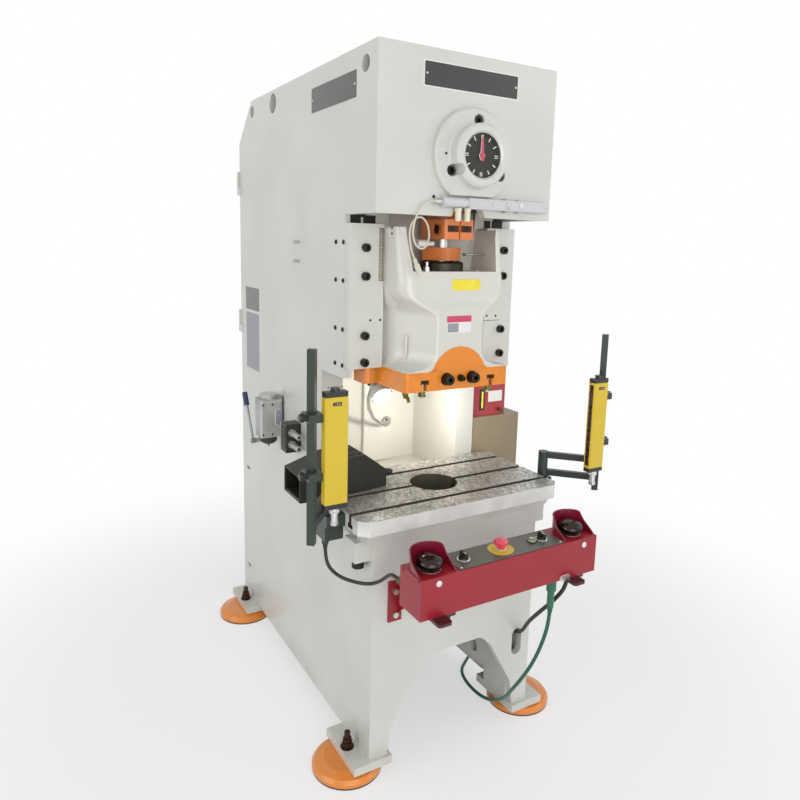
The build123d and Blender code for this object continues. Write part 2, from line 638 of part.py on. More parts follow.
nodes["palm_button_left"] = palm_button(-palm_x)
nodes["palm_button_right"] = palm_button(palm_x)
disc = turned_z([(button_r + 0.1, panel_top), (36, panel_top), (36, panel_top + 2),
                 (button_r + 0.1, panel_top + 2)], stop_x, con_mid)
nodes["console_panel"] = panel + disc
nodes["stop_button"] = turned_z([(0, con_top - 16), (button_r - 0.1, con_top - 16),
                                 (button_r - 0.1, panel_top + 14), (19, panel_top + 16),
                                 (20, panel_top + 22), (15, panel_top + 29), (0, panel_top + 31)],
                                stop_x, con_mid)
nodes["start_button"] = turned_z([(0, con_top - 16), (button_r - 0.1, con_top - 16),
                                  (button_r - 0.1, panel_top + 8), (9, panel_top + 10),
                                  (0, panel_top + 10)], start_x, con_mid)


def selector(x):
    knob = turned_z([(0, con_top - 16), (button_r - 0.1, con_top - 16), (button_r - 0.1, panel_top + 0.3),
                     (14, panel_top + 0.3), (13, panel_top + 8), (0, panel_top + 8)], x, con_mid)
    return knob + block(x - 3.5, x + 3.5, con_mid - 13, con_mid + 13, panel_top + 7, panel_top + 19)


nodes["selector_left"] = selector(selector_left_x)
nodes["selector_right"] = selector(selector_right_x)

# Light curtains on swinging two-bar arms
bar = 20.0
pole = 20.0


def swing_arm(px, py, z0, bar_rows, pole_x, pole_y, pole_z0, pole_z1):
    length = sqrt((pole_x - px) ** 2 + (pole_y - py) ** 2)
    from_pivot = Vector(pole_x - px, pole_y - py, 0).normalized()
    turn = Vector(1, 0, 0).get_signed_angle(from_pivot, Vector(0, 0, 1))
    arm = rod_z(16, px, py, z0, z0 + 85)
    for z in bar_rows:
        arm += Pos(px, py, z) * Rot(0, 0, turn) * Pos(length / 2, 0, bar / 2) * Box(length, 16, bar)
    arm += Pos(pole_x, pole_y, (pole_z0 + pole_z1) / 2) * Rot(0, 0, turn) * Box(pole, pole, pole_z1 - pole_z0)
    return arm


box_depth = 26.0
box_y0 = -105.0
pivot_y = 62.0
pivot_x = 386.0
left_z0 = 800.0
right_z0 = 789.0
left_pole = (-492.0, -60.0)
right_pole = (504.5, -60.0)
left_box = (-475.0, -413.0, 882.0, 1182.0)
right_box = (427.0, 486.0, 843.0, 1143.0)
clamp_left = (967.0, 1116.0)
clamp_right = (930.0, 1080.0)
pivot_pin = 8.0
arm_left = swing_arm(-pivot_x, pivot_y, left_z0, (left_z0 + 21, left_z0 + 56), left_pole[0], left_pole[1], 781, 1284)
arm_right = swing_arm(pivot_x, pivot_y, right_z0, (right_z0 + 5, right_z0 + 64), right_pole[0], right_pole[1], 762, 1274)
for z in clamp_left:
    arm_left += block(-512, -471, -92, -40, z - 10, z + 10) + rod_x(9, -66, z, -528, -511)
    arm_left -= block(-475.2, -400, box_y0 - 1, box_y0 + box_depth + 1, z - 20, z + 20)
for z in clamp_right:
    arm_right += block(482, 519, -92, -40, z - 10, z + 10) + rod_x(9, -66, z, 518, 534)
    arm_right -= block(400, 486.2, box_y0 - 1, box_y0 + box_depth + 1, z - 20, z + 20)
arm_left -= rod_z(pivot_pin + running, -pivot_x, pivot_y, left_z0 - 5, left_z0 + 70)
arm_right -= rod_z(pivot_pin + running, pivot_x, pivot_y, right_z0 - 5, right_z0 + 70)
nodes["curtain_arm_left"] = arm_left
nodes["curtain_arm_right"] = arm_right


def bracket(s, z0, y1):
    a, b = sorted((s * bolster_half, s * (pivot_x + 20)))
    body = block(a, b, pivot_y - 24, y1, z0 - 34, z0 - 0.3)
    return body + rod_z(pivot_pin, s * pivot_x, pivot_y, z0 - 2, z0 + 66)


curtain_gland = (-386.0, 92.0, 700.0)
left_bracket = bracket(-1, left_z0, 120) + block(-406, -350.3, 50, 120, 724, left_z0 - 30)
left_bracket += rod_z(10, curtain_gland[0], curtain_gland[1], curtain_gland[2], 726)
nodes["curtain_brackets"] = Compound([left_bracket, bracket(1, right_z0, pivot_y + 24)])


def curtain(x0, x1, z0, z1, lens_side):
    cap_high = 13.0
    shell = block(x0, x1, box_y0, box_y0 + box_depth, z0 + cap_high, z1 - cap_high)
    shell = fillet(shell.edges().filter_by(Axis.Z), 3)
    mid = (x0 + x1) / 2
    lens_x = x1 if lens_side > 0 else x0
    lens = block(lens_x - 2.5, lens_x + 2.5, box_y0 + 5, box_y0 + 21, z0 + 20, z1 - 20)
    shell -= lens
    for za, zb in ((z0, z0 + cap_high), (z1 - cap_high, z1)):
        shell += block(x0 + 1, x1 - 1, box_y0 + 1, box_y0 + box_depth - 1, za, zb)
    mid_y = box_y0 + box_depth / 2
    shell += rod_z(12, mid, mid_y, z0 - 14, z0) + rod_z(9, mid, mid_y, z0 - 46, z0 - 14)
    shell += rod_z(12, mid, mid_y, z1, z1 + 9)
    return shell


nodes["curtain_left"] = curtain(*left_box, 1)
nodes["curtain_right"] = curtain(*right_box, -1)

# Foot switch with a hood, on the bolster, and its pedal
fs_z = bolster_top
switch_y = 212.0


def switch_section(x, y, wide, low, high):
    return Plane(origin=(x, y, fs_z + (low + high) / 2), z_dir=(1, 0, 0), x_dir=(0, 1, 0)) * Rectangle(wide, high - low)


hood_out = loft([switch_section(-440, 205, 120, 0, 78), switch_section(-330, switch_y, 128, 0, 108),
                 switch_section(-235, switch_y, 120, 0, 115), switch_section(-150, switch_y, 88, 0, 52)],
                ruled=True)
hood_in = loft([switch_section(-441, 205, 108, 10, 72), switch_section(-330, switch_y, 116, 10, 100),
                switch_section(-235, switch_y, 108, 10, 106), switch_section(-200, switch_y, 84, 12, 74)],
               ruled=True)
foot = hood_out - hood_in + rod_x(11, switch_y, fs_z + 26, -151, -121)
foot += rod_x(15, switch_y, fs_z + 26, -151, -140)
pedal_x = -262.0
pedal_pin = 4.0
foot -= rod_y_axis(pedal_pin + running, pedal_x, fs_z + 39, 100, 330)
nodes["foot_switch"] = foot
pedal = block(pedal_x - 118, pedal_x, 170, 256, fs_z + 36, fs_z + 42)
pedal += rod_y_axis(7, pedal_x, fs_z + 39, 170, 256)
pedal += rod_y_axis(pedal_pin, pedal_x, fs_z + 39, 152, 272)
nodes["foot_pedal"] = pedal

# Work lamp: foot on the throat back, gooseneck with an eye, and the tilting head
eye = (-106.0, 338.0, 1092.0)
neck_points = [(86, 603, 880), (82, 580, 878), (40, 556, 884), (-22, 500, 927), (-72, 440, 982),
               (-98, 394, 1030), (-106, 362, 1066), (-106, 341, 1089)]
neck_path = FilletPolyline(*neck_points, radius=14)
neck = sweep(Plane(origin=neck_path @ 0, z_dir=neck_path % 0) * Circle(6.5), path=neck_path)
neck += rod_y_axis(20, 86, 880, 596, 605)
neck += rod_x(9, eye[1], eye[2], eye[0] - 8, eye[0] + 8) + rod_x(4, eye[1], eye[2], eye[0] - 19, eye[0] + 19)
nodes["lamp_neck"] = neck
cup = turned_z([(0, 0), (16, 0), (24, 10), (33, 30), (34, 44), (31, 44), (30, 32), (0, 30)], 0, 0)
lamp_reach = 20.0
lugs_shape = block(-18, -8.3, -9, 9, -lamp_reach - 9, 3) + block(8.3, 18, -9, 9, -lamp_reach - 9, 3)
lugs_shape -= rod_x(4 + running, 0, -lamp_reach, -20, 20)
lamp = Pos(*eye) * Rot(122, 0, 0) * Pos(0, 0, lamp_reach) * (cup + lugs_shape)
nodes["lamp_head"] = lamp

# Air service unit on the left side plate, its shut-off lever and the valve block
unit_x = -376.0
unit_y = 702.0
bowl_x = -337.0
unit = block(unit_x, -half_width, unit_y - 33, unit_y + 33, 851, 988)
unit = fillet(unit.edges().filter_by(Axis.Z).group_by(Axis.X)[0], 6)
unit += rod_z(32, bowl_x, unit_y, 985, 1003)
unit += turned_z([(0, 822), (20, 824), (29, 832), (31, 852), (0, 852)], bowl_x, unit_y)
lever_z = 838.0
unit += rod_x(8, unit_y, lever_z, -384, bowl_x)
pipe_z = 888.0
unit += rod_y_axis(8, -303, pipe_z, 555, unit_y - 30) + hexagon_y(20, -306, pipe_z, 610, 634)
valve = block(-345, -half_width, 505, 560, 840, 937)
for z in (869, 909):
    valve += rod_y_axis(12, -326, z, 494, 506) + rod_y_axis(9.5, -326, z, 438, 494)
    valve -= rod_y_axis(4, -326, z, 437, 470)
nodes["air_unit"] = Compound([unit + valve])
lever_x = -394.0
lever_lean = 59
lever = rod_x(9, unit_y, lever_z, lever_x - 7, -384.3)
lever += Pos(lever_x, unit_y, lever_z) * Rot(lever_lean, 0, 0) * Pos(0, 68, 0) * Rot(90, 0, 0) * Cylinder(4.5, 136)
lever += Pos(lever_x, unit_y, lever_z) * Rot(lever_lean, 0, 0) * Pos(0, 157, 0) * Rot(90, 0, 0) * Cylinder(9.5, 48)
nodes["air_lever"] = lever

# Control cabinet on the right side plate, its door, and the lubricator tank on top
cab_x = 502.0
cab_y0 = 340.0
cab_y1 = 600.0
cab_z0 = 640.0
cab_z1 = 930.0
cabinet = block(half_width, cab_x, cab_y0, cab_y1, cab_z0, cab_z1)
cabinet -= block(half_width + 4, cab_x + 1, cab_y0 + 4, cab_y1 - 4, cab_z0 + 4, cab_z1 - 4)
cabinet += block(half_width, half_width + 4, cab_y0, cab_y1, cab_z0, cab_z1)
supply_in = (350.0, 385.0)
cabinet += rod_z(10, supply_in[0], supply_in[1], cab_z0 - 18, cab_z0)
hinge_x = cab_x + 5.0
hinge_y = cab_y1 + 3.0
door_r = 5.0
for za, zb in ((cab_z0 + 40.3, cab_z0 + 60), (cab_z1 - 60, cab_z1 - 40.3)):
    cabinet += rod_z(door_r, hinge_x, hinge_y, za, zb) + block(cab_x - 12, cab_x, cab_y1, hinge_y + 3, za, zb)
    cabinet += block(cab_x - 1, hinge_x, cab_y1 + 0.5, hinge_y + 4, za, zb)
door = block(cab_x + 0.3, cab_x + 3.3, cab_y0, cab_y1 - 6, cab_z0, cab_z1)
pins = ((cab_z0 + 20, cab_z0 + 40), (cab_z1 - 40, cab_z1 - 20))
for za, zb in pins:
    door += rod_z(door_r, hinge_x, hinge_y, za, zb) + block(cab_x + 0.3, hinge_x, cab_y1 - 8, hinge_y, za, zb)
door -= rod_z(2.5 + running, hinge_x, hinge_y, cab_z0, cab_z1)
cabinet += rod_z(2.5, hinge_x, hinge_y, cab_z0 + 22, cab_z0 + 50)
cabinet += rod_z(2.5, hinge_x, hinge_y, cab_z1 - 50, cab_z1 - 22)
door += rod_x(9, cab_y0 + 22, 770, cab_x + 3, cab_x + 12)
nodes["cabinet_box"] = cabinet
nodes["cabinet_door"] = door
tank = block(half_width, 449, 350, 470, cab_z1, 1050)
tank = fillet(tank.edges().filter_by(Axis.Z), 8)
tank += rod_z(20, 406, 430, 1050, 1064)
nodes["lubricator"] = tank

# Rear door on long knuckles
rear_hinge_x = -half_width - 5.0
rear_hinge_y = rear_y + 4.0
rear_door = block(-280, 280, rear_y + 0.3, rear_y + 4.3, 1112, 1892)
for i in range(7):
    z = 1180 + 26 * i
    rear_door -= block(-90, 90, rear_y - 1, rear_y + 6, z, z + 10)
    rear_door -= block(-90, 90, rear_y - 1, rear_y + 6, z + 460, z + 470)
hinge_rows = ((1200, 1260), (1740, 1800))
for za, zb in hinge_rows:
    rear_door += rod_z(door_r, rear_hinge_x, rear_hinge_y, za, zb)
    rear_door += block(rear_hinge_x, -275, rear_y + 0.3, rear_hinge_y + 3, za, zb)
rear_door -= rod_z(2.5 + running, rear_hinge_x, rear_hinge_y, 1100, 1900)
rear_door += rod_y_axis(9, 262, 1500, rear_y + 4, rear_y + 16)
nodes["rear_door"] = rear_door
for za, zb in hinge_rows:
    knuckle = rod_z(door_r, rear_hinge_x, rear_hinge_y, za - 30, za - 0.3)
    knuckle += block(rear_hinge_x - 2, -half_width, rear_y - 20, rear_hinge_y, za - 30, za - 0.3)
    knuckle += rod_z(2.5, rear_hinge_x, rear_hinge_y, za - 2, zb - 5)
    nodes["side_plate_left"] = nodes["side_plate_left"] + knuckle

# Cables, laid once and left alone
nodes["curtain_cable"] = cable("curtain_cable", [
    curtain_gland, (-386, 92, 662), (-381, 76, 630), (-358, 47, 609), (-330, 6, 606),
    (-308, -36, 615), (-293, -66, 634), (-288, -92, 659), (-288, -122, 680),
    (curtain_in[0], con_back + 16, curtain_in[1])], 10)
nodes["console_cable"] = cable("console_cable", [
    (lead_x, lead_y, con_bottom - 14), (lead_x, lead_y, 574), (206, -220, 528), (195, -170, 466),
    (207, -110, 400), (236, -52, 328), (251, -10, 300), (252.5, 40, 284), (252, 92, 274),
    (252.5, 140, 270), (252.5, 186, 270)], 12)
nodes["supply_cable"] = cable("supply_cable", [
    (gland_x, gland_y, gland_end), (gland_x, gland_y, 465), (168, -216, 392), (160, -190, 318),
    (156, -150, 245), (164, -98, 172), (190, -38, 100), (206, 22, 46), (209, 76, 16),
    (206, 130, 7), (210, 200, 6.5), (232, 262, 7), (282, 300, 6), (326, 322, 22), (345, 340, 72),
    (347, 352, 150), (352, 358, 250), (346, 366, 350), (352, 374, 450), (supply_in[0], supply_in[1], 545),
    (supply_in[0], supply_in[1], cab_z0 - 18)], 11)
lead_points = [(-122, duct_y, 1655), (-146, duct_y, 1655), (-169, -13, 1632), (-184, -12, 1598),
               (-188, -12, 1562), (-173, -11, 1532), (-148, -10, 1527), (-132, -9, 1556),
               (-136, -7, 1592), (-156, -5, 1615), (-181, -5, 1606), (-194, -6, 1578),
               (-192, -7, 1546), (-186, -8, 1520), (-178, -8, 1503)]
nodes["sensor_lead"] = cable("sensor_lead", lead_points, 5)
plug_at = Plane(origin=lead_points[-1], z_dir=(8, 0, -17))
plug = plug_at * (Pos(0, 0, 10) * Cylinder(5.5, 20) + Pos(0, 0, 32) * Cylinder(8, 30))
nodes["sensor_plug"] = plug

# Move everything to the middle of its own outline and export
bounds = None
for name, shape in nodes.items():
    if name in cords:
        continue
    box = shape.bounding_box()
    if bounds is None:
        bounds = [box.min.X, box.min.Y, box.min.Z, box.max.X, box.max.Y, box.max.Z]
    else:
        bounds[:3] = [min(a, b) for a, b in zip(bounds[:3], (box.min.X, box.min.Y, box.min.Z))]
        bounds[3:] = [max(a, b) for a, b in zip(bounds[3:], (box.max.X, box.max.Y, box.max.Z))]
shift_x = -(bounds[0] + bounds[3]) / 2
shift_y = -(bounds[1] + bounds[4]) / 2
shift_z = -bounds[2]
print("bounds", [round(v, 2) for v in bounds], "shift", round(shift_x, 3), round(shift_y, 3), shift_z)
for name, shape in nodes.items():
    export_step(Pos(shift_x, shift_y, shift_z) * shape, "parts/" + name + ".step")
print(len(nodes), "nodes")
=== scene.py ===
"""Stamping press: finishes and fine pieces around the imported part. Metres, +Z up, front along -Y."""

from math import atan2, cos, hypot, pi, radians, sin, tan

import bmesh
import bpy
from mathutils import Matrix, Vector


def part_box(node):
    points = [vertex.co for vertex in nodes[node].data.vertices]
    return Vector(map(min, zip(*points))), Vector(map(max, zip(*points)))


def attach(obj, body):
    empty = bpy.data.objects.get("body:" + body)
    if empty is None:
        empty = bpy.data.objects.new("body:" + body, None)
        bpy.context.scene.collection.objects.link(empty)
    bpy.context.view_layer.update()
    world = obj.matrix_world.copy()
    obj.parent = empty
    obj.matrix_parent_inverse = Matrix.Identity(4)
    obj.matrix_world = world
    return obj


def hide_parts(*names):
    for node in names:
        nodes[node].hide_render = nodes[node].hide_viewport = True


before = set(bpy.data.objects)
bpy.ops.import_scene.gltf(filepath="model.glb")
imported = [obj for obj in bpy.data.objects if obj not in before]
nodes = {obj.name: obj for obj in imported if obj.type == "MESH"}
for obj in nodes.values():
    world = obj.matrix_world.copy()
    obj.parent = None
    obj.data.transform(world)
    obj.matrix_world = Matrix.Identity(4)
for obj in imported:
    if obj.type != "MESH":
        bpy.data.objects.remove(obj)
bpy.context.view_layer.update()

# Press measures are in millimetres from the middle of the head's front face at floor level
head_low, head_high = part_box("head_front_plate")
shift = Vector(((head_low.x + head_high.x) / 2, head_low.y, 0))
press = Matrix.Translation(shift) @ Matrix.Scale(0.001, 4)

FRONT, LEFT, RIGHT, UP, REAR, DOWN = (0, -1, 0), (-1, 0, 0), (1, 0, 0), (0, 0, 1), (0, 1, 0), (0, 0, -1)
QUARTER = pi / 2

# Faces and centres that several pieces share
SIDE_FACE, GIB_FACE, CASTING_FRONT = 293, 152, 17
DIAL_FACE, CRANK_Z = -48, 1779.0
BAND_FRONT, CLAMP_Z, WINDOW_FLOOR = 15.4, 1160, 1465
CON_FRONT, CON_BACK, CON_TOP = -277.0, -176.0, 731.0
CON_MID = (CON_FRONT + CON_BACK) / 2
PANEL_TOP = 733.0
PALM_X, STOP_X, START_X = 240, -12, 97
SELECTORS = (("left", -135), ("right", 132))
CURTAINS = {"left": (882, 1182), "right": (843, 1143)}
SIDES = ((-1, LEFT), (1, RIGHT))
SLIDE_HALF, SLIDE_BACK = 181, 184


def at(x, y, z):
    return press @ Vector((x, y, z))


def shown(name, data):
    thing = bpy.data.objects.new(name, data)
    bpy.context.scene.collection.objects.link(thing)
    return thing


# Camera, fitted to points of the photo
yaw, pitch, roll = radians(30.704), radians(9.451), radians(1.485)
CAMERA_PLACE = (-1136.4, -1591.2, 1545.7)
look = Vector((sin(yaw) * cos(pitch), cos(yaw) * cos(pitch), -sin(pitch)))
right = look.cross(Vector((0, 0, 1))).normalized()
up = right.cross(look)
right, up = cos(roll) * right + sin(roll) * up, cos(roll) * up - sin(roll) * right
lens = bpy.data.cameras.new("camera")
lens.sensor_width = 36
lens.lens = 30.92
lens.shift_x, lens.shift_y = -0.00724, -0.0545
lens.clip_start, lens.clip_end = 0.05, 60
camera = shown("camera", lens)
camera.matrix_world = Matrix.Translation(at(*CAMERA_PLACE)) @ Matrix((right, up, -look)).transposed().to_4x4()
bpy.context.scene.camera = camera
bpy.context.scene.view_settings.view_transform = "Standard"


# Shader sums
class Amount:
    """A shader value that can be written into sums."""

    def __init__(self, shading, socket):
        self.shading = shading
        self.socket = socket

    def __add__(self, other):
        return self.shading.maths("ADD", self, other)

    def __radd__(self, other):
        return self.shading.maths("ADD", other, self)

    def __sub__(self, other):
        return self.shading.maths("SUBTRACT", self, other)

    def __rsub__(self, other):
        return self.shading.maths("SUBTRACT", other, self)

    def __mul__(self, other):
        return self.shading.maths("MULTIPLY", self, other)

    def __rmul__(self, other):
        return self.shading.maths("MULTIPLY", other, self)

    def __gt__(self, other):
        return self.shading.maths("GREATER_THAN", self, other)

    def __lt__(self, other):
        return self.shading.maths("LESS_THAN", self, other)


class Shading:
    """A node tree that is filled by short calls."""

    def __init__(self, tree):
        self.tree = tree

    def join(self, value, socket):
        if isinstance(value, Amount):
            self.tree.links.new(value.socket, socket)
        else:
            socket.default_value = value

    def node(self, kind, settings, values, output=0):
        made = self.tree.nodes.new(kind)
        for key, value in settings.items():
            setattr(made, key, value)
        for key, value in values.items():
            self.join(value, made.inputs[key])
        return Amount(self, made.outputs[output])

    def maths(self, operation, first, second=0.5):
        return self.node("ShaderNodeMath", {"operation": operation}, {0: first, 1: second})

    def seen(self):
        """1 for the rays that show a thing itself, 0 for those that only carry its light."""
        direct, glossy, clear = [self.node("ShaderNodeLightPath", {}, {}, "Is " + kind + " Ray")
                                 for kind in ("Camera", "Glossy", "Transmission")]
        return self.maths("MAXIMUM", self.maths("MAXIMUM", direct, glossy), clear)


class Finish(Shading):
    """One paint, metal or plastic with its surface pattern."""

    def __init__(self, name, roughness=0.4, metallic=0.0, **constants):
        self.material = bpy.data.materials.new(name)
        self.material.use_nodes = True
        super().__init__(self.material.node_tree)
        self.shader = self.tree.nodes["Principled BSDF"]
        self.feed("Roughness", roughness)
        self.feed("Metallic", metallic)
        for key, value in constants.items():
            self.feed(key.replace("_", " ").title(), value)
        self.place = self.node("ShaderNodeTexCoord", {}, {}, "Object")

    def feed(self, name, value):
        self.join(value, self.shader.inputs[name])

    def paint(self, over, mask):
        """Lays another colour over the base where the mask is 1."""
        self.base = self.blend(self.base, over, mask)
        self.feed("Base Color", self.base)

    def stretched(self, x, y, z):
        return self.node("ShaderNodeMapping", {}, {"Vector": self.place, "Scale": (x, y, z)})

    def noise(self, scale, detail=3.0, on=None, roughness=0.5):
        return self.node("ShaderNodeTexNoise", {}, {
            "Vector": on or self.place, "Scale": scale, "Detail": detail, "Roughness": roughness})

    def along(self, axis, vector=None):
        return self.node("ShaderNodeSeparateXYZ", {}, {0: vector or self.place}, axis)

    def past(self, axis, measure):
        """1 where the press measure along an axis is greater, otherwise 0."""
        return self.along(axis) > at(measure, measure, measure)["XYZ".index(axis)]

    def under(self, axis, measure):
        return self.along(axis) < at(measure, measure, measure)["XYZ".index(axis)]

    def off_centre(self):
        """The distance from the press's middle plane."""
        return self.maths("ABSOLUTE", self.along("X") - shift.x)

    def off_line(self, x, y):
        """The distance from an upright line."""
        middle = self.node("ShaderNodeMapping", {}, {"Vector": self.place, "Location": tuple(-at(x, y, 0))})
        flat = self.node("ShaderNodeVectorMath", {"operation": "MULTIPLY"}, {0: middle, 1: (1, 1, 0)})
        return self.node("ShaderNodeVectorMath", {"operation": "LENGTH"}, {0: flat}, "Value")

    def ramp(self, value, low, high, start=0.0, end=1.0):
        return self.node("ShaderNodeMapRange", {"interpolation_type": "SMOOTHSTEP"}, {
            "Value": value, "From Min": low, "From Max": high, "To Min": start, "To Max": end})

    def blend(self, first, second, factor):
        return self.node("ShaderNodeMix", {"data_type": "RGBA"}, {0: factor, 6: first, 7: second}, 2)

    def bump(self, height, depth):
        self.feed("Normal", self.node("ShaderNodeBump", {}, {"Height": height, "Distance": depth, "Strength": 1.0}))


def colour(red, green, blue):
    """A paint colour as it is seen, each part 0 to 255."""
    parts = [c / 255 for c in (red, green, blue)]
    return tuple(c / 12.92 if c < 0.04 else ((c + 0.055) / 1.055) ** 2.4 for c in parts) + (1.0,)


def tone(base, share):
    return tuple(min(1.0, c * share) for c in base[:3]) + (1.0,)


def enamel(name, base, roughness=0.32, clear=0.3, peel=0.00008, wear=0.5):
    """Sprayed enamel: uneven cover, orange peel, dull patches and a little soil."""
    finish = Finish(name, coat_roughness=0.15)
    cloud = finish.noise(3.0, 5.0)
    soil = finish.ramp(finish.noise(17.0, 6.0, roughness=0.7), 0.56, 0.78) * wear
    finish.base = finish.blend(base, tone(base, 0.93), finish.ramp(cloud, 0.3, 0.7))
    finish.paint(tone(base, 0.80), soil * 0.22)
    finish.feed("Roughness", roughness + 0.10 * cloud + 0.12 * soil)
    finish.feed("Coat Weight", clear - 0.25 * soil)
    finish.bump(finish.noise(330.0, 2.0) + 0.6 * finish.noise(60.0, 2.0), peel)
    return finish


def metal(name, base, roughness=0.3, grain=(40, 900, 40), spread=0.12, depth=0.00003):
    """Machined metal: tool marks one way and cloudy oil film."""
    finish = Finish(name, metallic=1.0)
    marks = finish.noise(1.0, 3.0, finish.stretched(*grain))
    film = finish.noise(14.0, 5.0)
    finish.base = finish.blend(base, tone(base, 0.72), finish.ramp(film, 0.42, 0.75))
    finish.feed("Base Color", finish.blend(finish.base, tone(base, 1.1), marks * 0.35))
    finish.feed("Roughness", roughness - spread / 2 + spread * marks + 0.10 * film)
    finish.bump(marks, depth)
    return finish


def moulded(name, base, roughness=0.45, depth=0.00005, coat_weight=0.0):
    """Moulded plastic or rubber: fine grain, handling marks."""
    finish = Finish(name, coat_weight=coat_weight)
    rub = finish.noise(24.0, 5.0)
    finish.base = base
    finish.paint(tone(base, 1.5), finish.ramp(rub, 0.5, 0.8) * 0.35)
    finish.feed("Roughness", roughness + 0.16 * rub - 0.08)
    finish.bump(finish.noise(700.0, 2.0), depth)
    return finish


# Colours
cream = colour(213, 214, 208)
orange = colour(236, 138, 20)
console_red = colour(152, 18, 36)
near_black = colour(30, 30, 28)
yellow = colour(218, 188, 44)

# Frame enamel, soiled near the floor
frame_enamel = enamel("frame_enamel", cream)
low_soil = frame_enamel.ramp(frame_enamel.along("Z"), 0.02, 0.16, 1.0, 0.0)
low_soil = low_soil * frame_enamel.ramp(frame_enamel.noise(9.0, 6.0), 0.35, 0.7)
frame_enamel.paint(colour(176, 172, 158), 0.5 * low_soil)
gib_enamel = enamel("gib_enamel", colour(216, 216, 210), roughness=0.38, wear=0.8)

# Slide enamel: cream with an orange lower band, masked at one height
slide_enamel = enamel("slide_enamel", colour(218, 217, 208), roughness=0.24, clear=0.45)
drips = slide_enamel.ramp(slide_enamel.noise(40.0, 3.0), 0.3, 0.7)
slide_enamel.paint(slide_enamel.blend(orange, tone(orange, 0.88), drips), slide_enamel.under("Z", 1184.4))

orange_enamel = enamel("orange_enamel", orange, roughness=0.26, clear=0.5, wear=0.6)
rod_enamel = enamel("rod_enamel", colour(226, 128, 62), roughness=0.3, clear=0.4, wear=1.0)

# Floor pads: orange over a black rubber sole
pad_enamel = enamel("pad_enamel", colour(232, 138, 42), roughness=0.3, clear=0.5, wear=1.2)
pad_enamel.paint(colour(48, 46, 42), pad_enamel.under("Z", 5))

# Console: red box, green and black cable glands under it, green-grey back
red_enamel = enamel("console_enamel", console_red, roughness=0.34, clear=0.15, wear=0.7)
gland_colour = red_enamel.blend(colour(38, 104, 78), colour(36, 36, 32), red_enamel.past("X", 205))
red_enamel.paint(gland_colour, red_enamel.under("Z", 622.6))
red_enamel.paint(colour(66, 74, 48), red_enamel.past("Y", -175.6))

# Console brackets: same red, painted shade on the front tabs under the box, bright flange bolts
bracket_enamel = enamel("bracket_enamel", tone(console_red, 0.9), roughness=0.36, clear=0.15, wear=1.0)
bolt_face = bracket_enamel.under("Y", -27.2) * bracket_enamel.past("Y", -36)
bolt_face = bolt_face * (bracket_enamel.off_centre() > 0.2131)
# Painted shade: the front tabs' faces are darkened as the shade under the console box
bracket_enamel.paint(colour(64, 26, 30), bracket_enamel.under("Y", -276.8))
bracket_enamel.paint(colour(200, 198, 190), bolt_face)
bracket_enamel.feed("Metallic", 0.9 * bolt_face)

hood_enamel = enamel("hood_enamel", colour(128, 18, 46), roughness=0.28, clear=0.5, wear=0.5)
cover_enamel = enamel("cover_enamel", yellow, roughness=0.36, clear=0.2, wear=0.3)
cabinet_enamel = enamel("cabinet_enamel", colour(150, 136, 110), roughness=0.42, clear=0.1, wear=1.0)
motor_enamel = enamel("motor_enamel", colour(112, 122, 126), roughness=0.45, peel=0.0003, wear=1.2)
arm_enamel = enamel("arm_enamel", colour(40, 52, 46), roughness=0.4, clear=0.2, wear=0.4)
lamp_enamel = enamel("lamp_enamel", colour(232, 232, 228), roughness=0.35, clear=0.3, wear=0.2)
pointer_enamel = enamel("pointer_enamel", colour(205, 72, 92), roughness=0.3, wear=0.2)
tank_enamel = enamel("tank_enamel", colour(168, 38, 50), roughness=0.25, clear=0.5, wear=0.6)
black_cast = enamel("black_cast", colour(32, 30, 22), roughness=0.5, clear=0.05, peel=0.0004, wear=0.8)

# Console panel: brushed dark plate, with a yellow disc round the stop button
panel_finish = enamel("panel_finish", colour(88, 88, 80), roughness=0.36, clear=0.1, wear=0.9)
stop_disc = panel_finish.off_line(STOP_X, CON_MID) < 0.0362
panel_finish.paint(yellow, stop_disc * panel_finish.past("Z", PANEL_TOP + 0.1))

# Bolster: hand-scraped top, ground band, painted skirt, slot and hole insides painted dark as shade with an oily mottle
scraped = Finish("scraped_steel")
top = scraped.past("Z", 806.6)
flake = scraped.node("ShaderNodeTexVoronoi", {}, {
    "Vector": scraped.stretched(1.0, 0.7, 1.0), "Scale": 150.0}, "Color")
flake_light = scraped.along("X", flake)
glint = scraped.noise(420.0, 2.0, scraped.stretched(1.0, 0.5, 1.0))
oil = scraped.noise(9.0, 5.0)
steel = scraped.blend(colour(200, 201, 196), colour(122, 123, 115),
                      scraped.ramp(flake_light * 0.7 + glint * 0.6, 0.45, 1.1))
steel = scraped.blend(steel, colour(108, 105, 92), scraped.ramp(oil, 0.52, 0.8) * 0.55)
side_steel = scraped.blend(colour(232, 233, 231), colour(212, 213, 210),
                           scraped.ramp(scraped.noise(12.0, 5.0), 0.35, 0.7))
skirt = scraped.blend(cream, colour(192, 192, 184), scraped.ramp(scraped.noise(7.0, 5.0), 0.4, 0.75))
scraped.base = scraped.blend(scraped.blend(skirt, side_steel, scraped.past("Z", 764.3)), steel, top)
# Painted shade: the insides of the T-slots and the hole are darkened, mottled by the oil noise
from_slot = scraped.maths("PINGPONG", scraped.along("Y") - at(0, 8, 0).y, 0.061)
in_slot = (from_slot < 0.0153) * scraped.past("Z", 768.2) * (scraped.off_centre() < 0.3497)
in_hole = scraped.off_line(0, 132) < 0.0753
scraped.paint(scraped.blend(colour(62, 60, 50), colour(96, 92, 78), oil),
              scraped.maths("MAXIMUM", in_slot, in_hole) * (1 - top))
scraped.feed("Metallic", 0.45 * top)
scraped.feed("Roughness", 0.42 - top * (0.20 - 0.20 * flake_light) + 0.05 * glint)
scraped.bump(top * (flake_light * 0.7 + glint) + 0.2 * scraped.noise(300.0, 2.0), 0.00010)

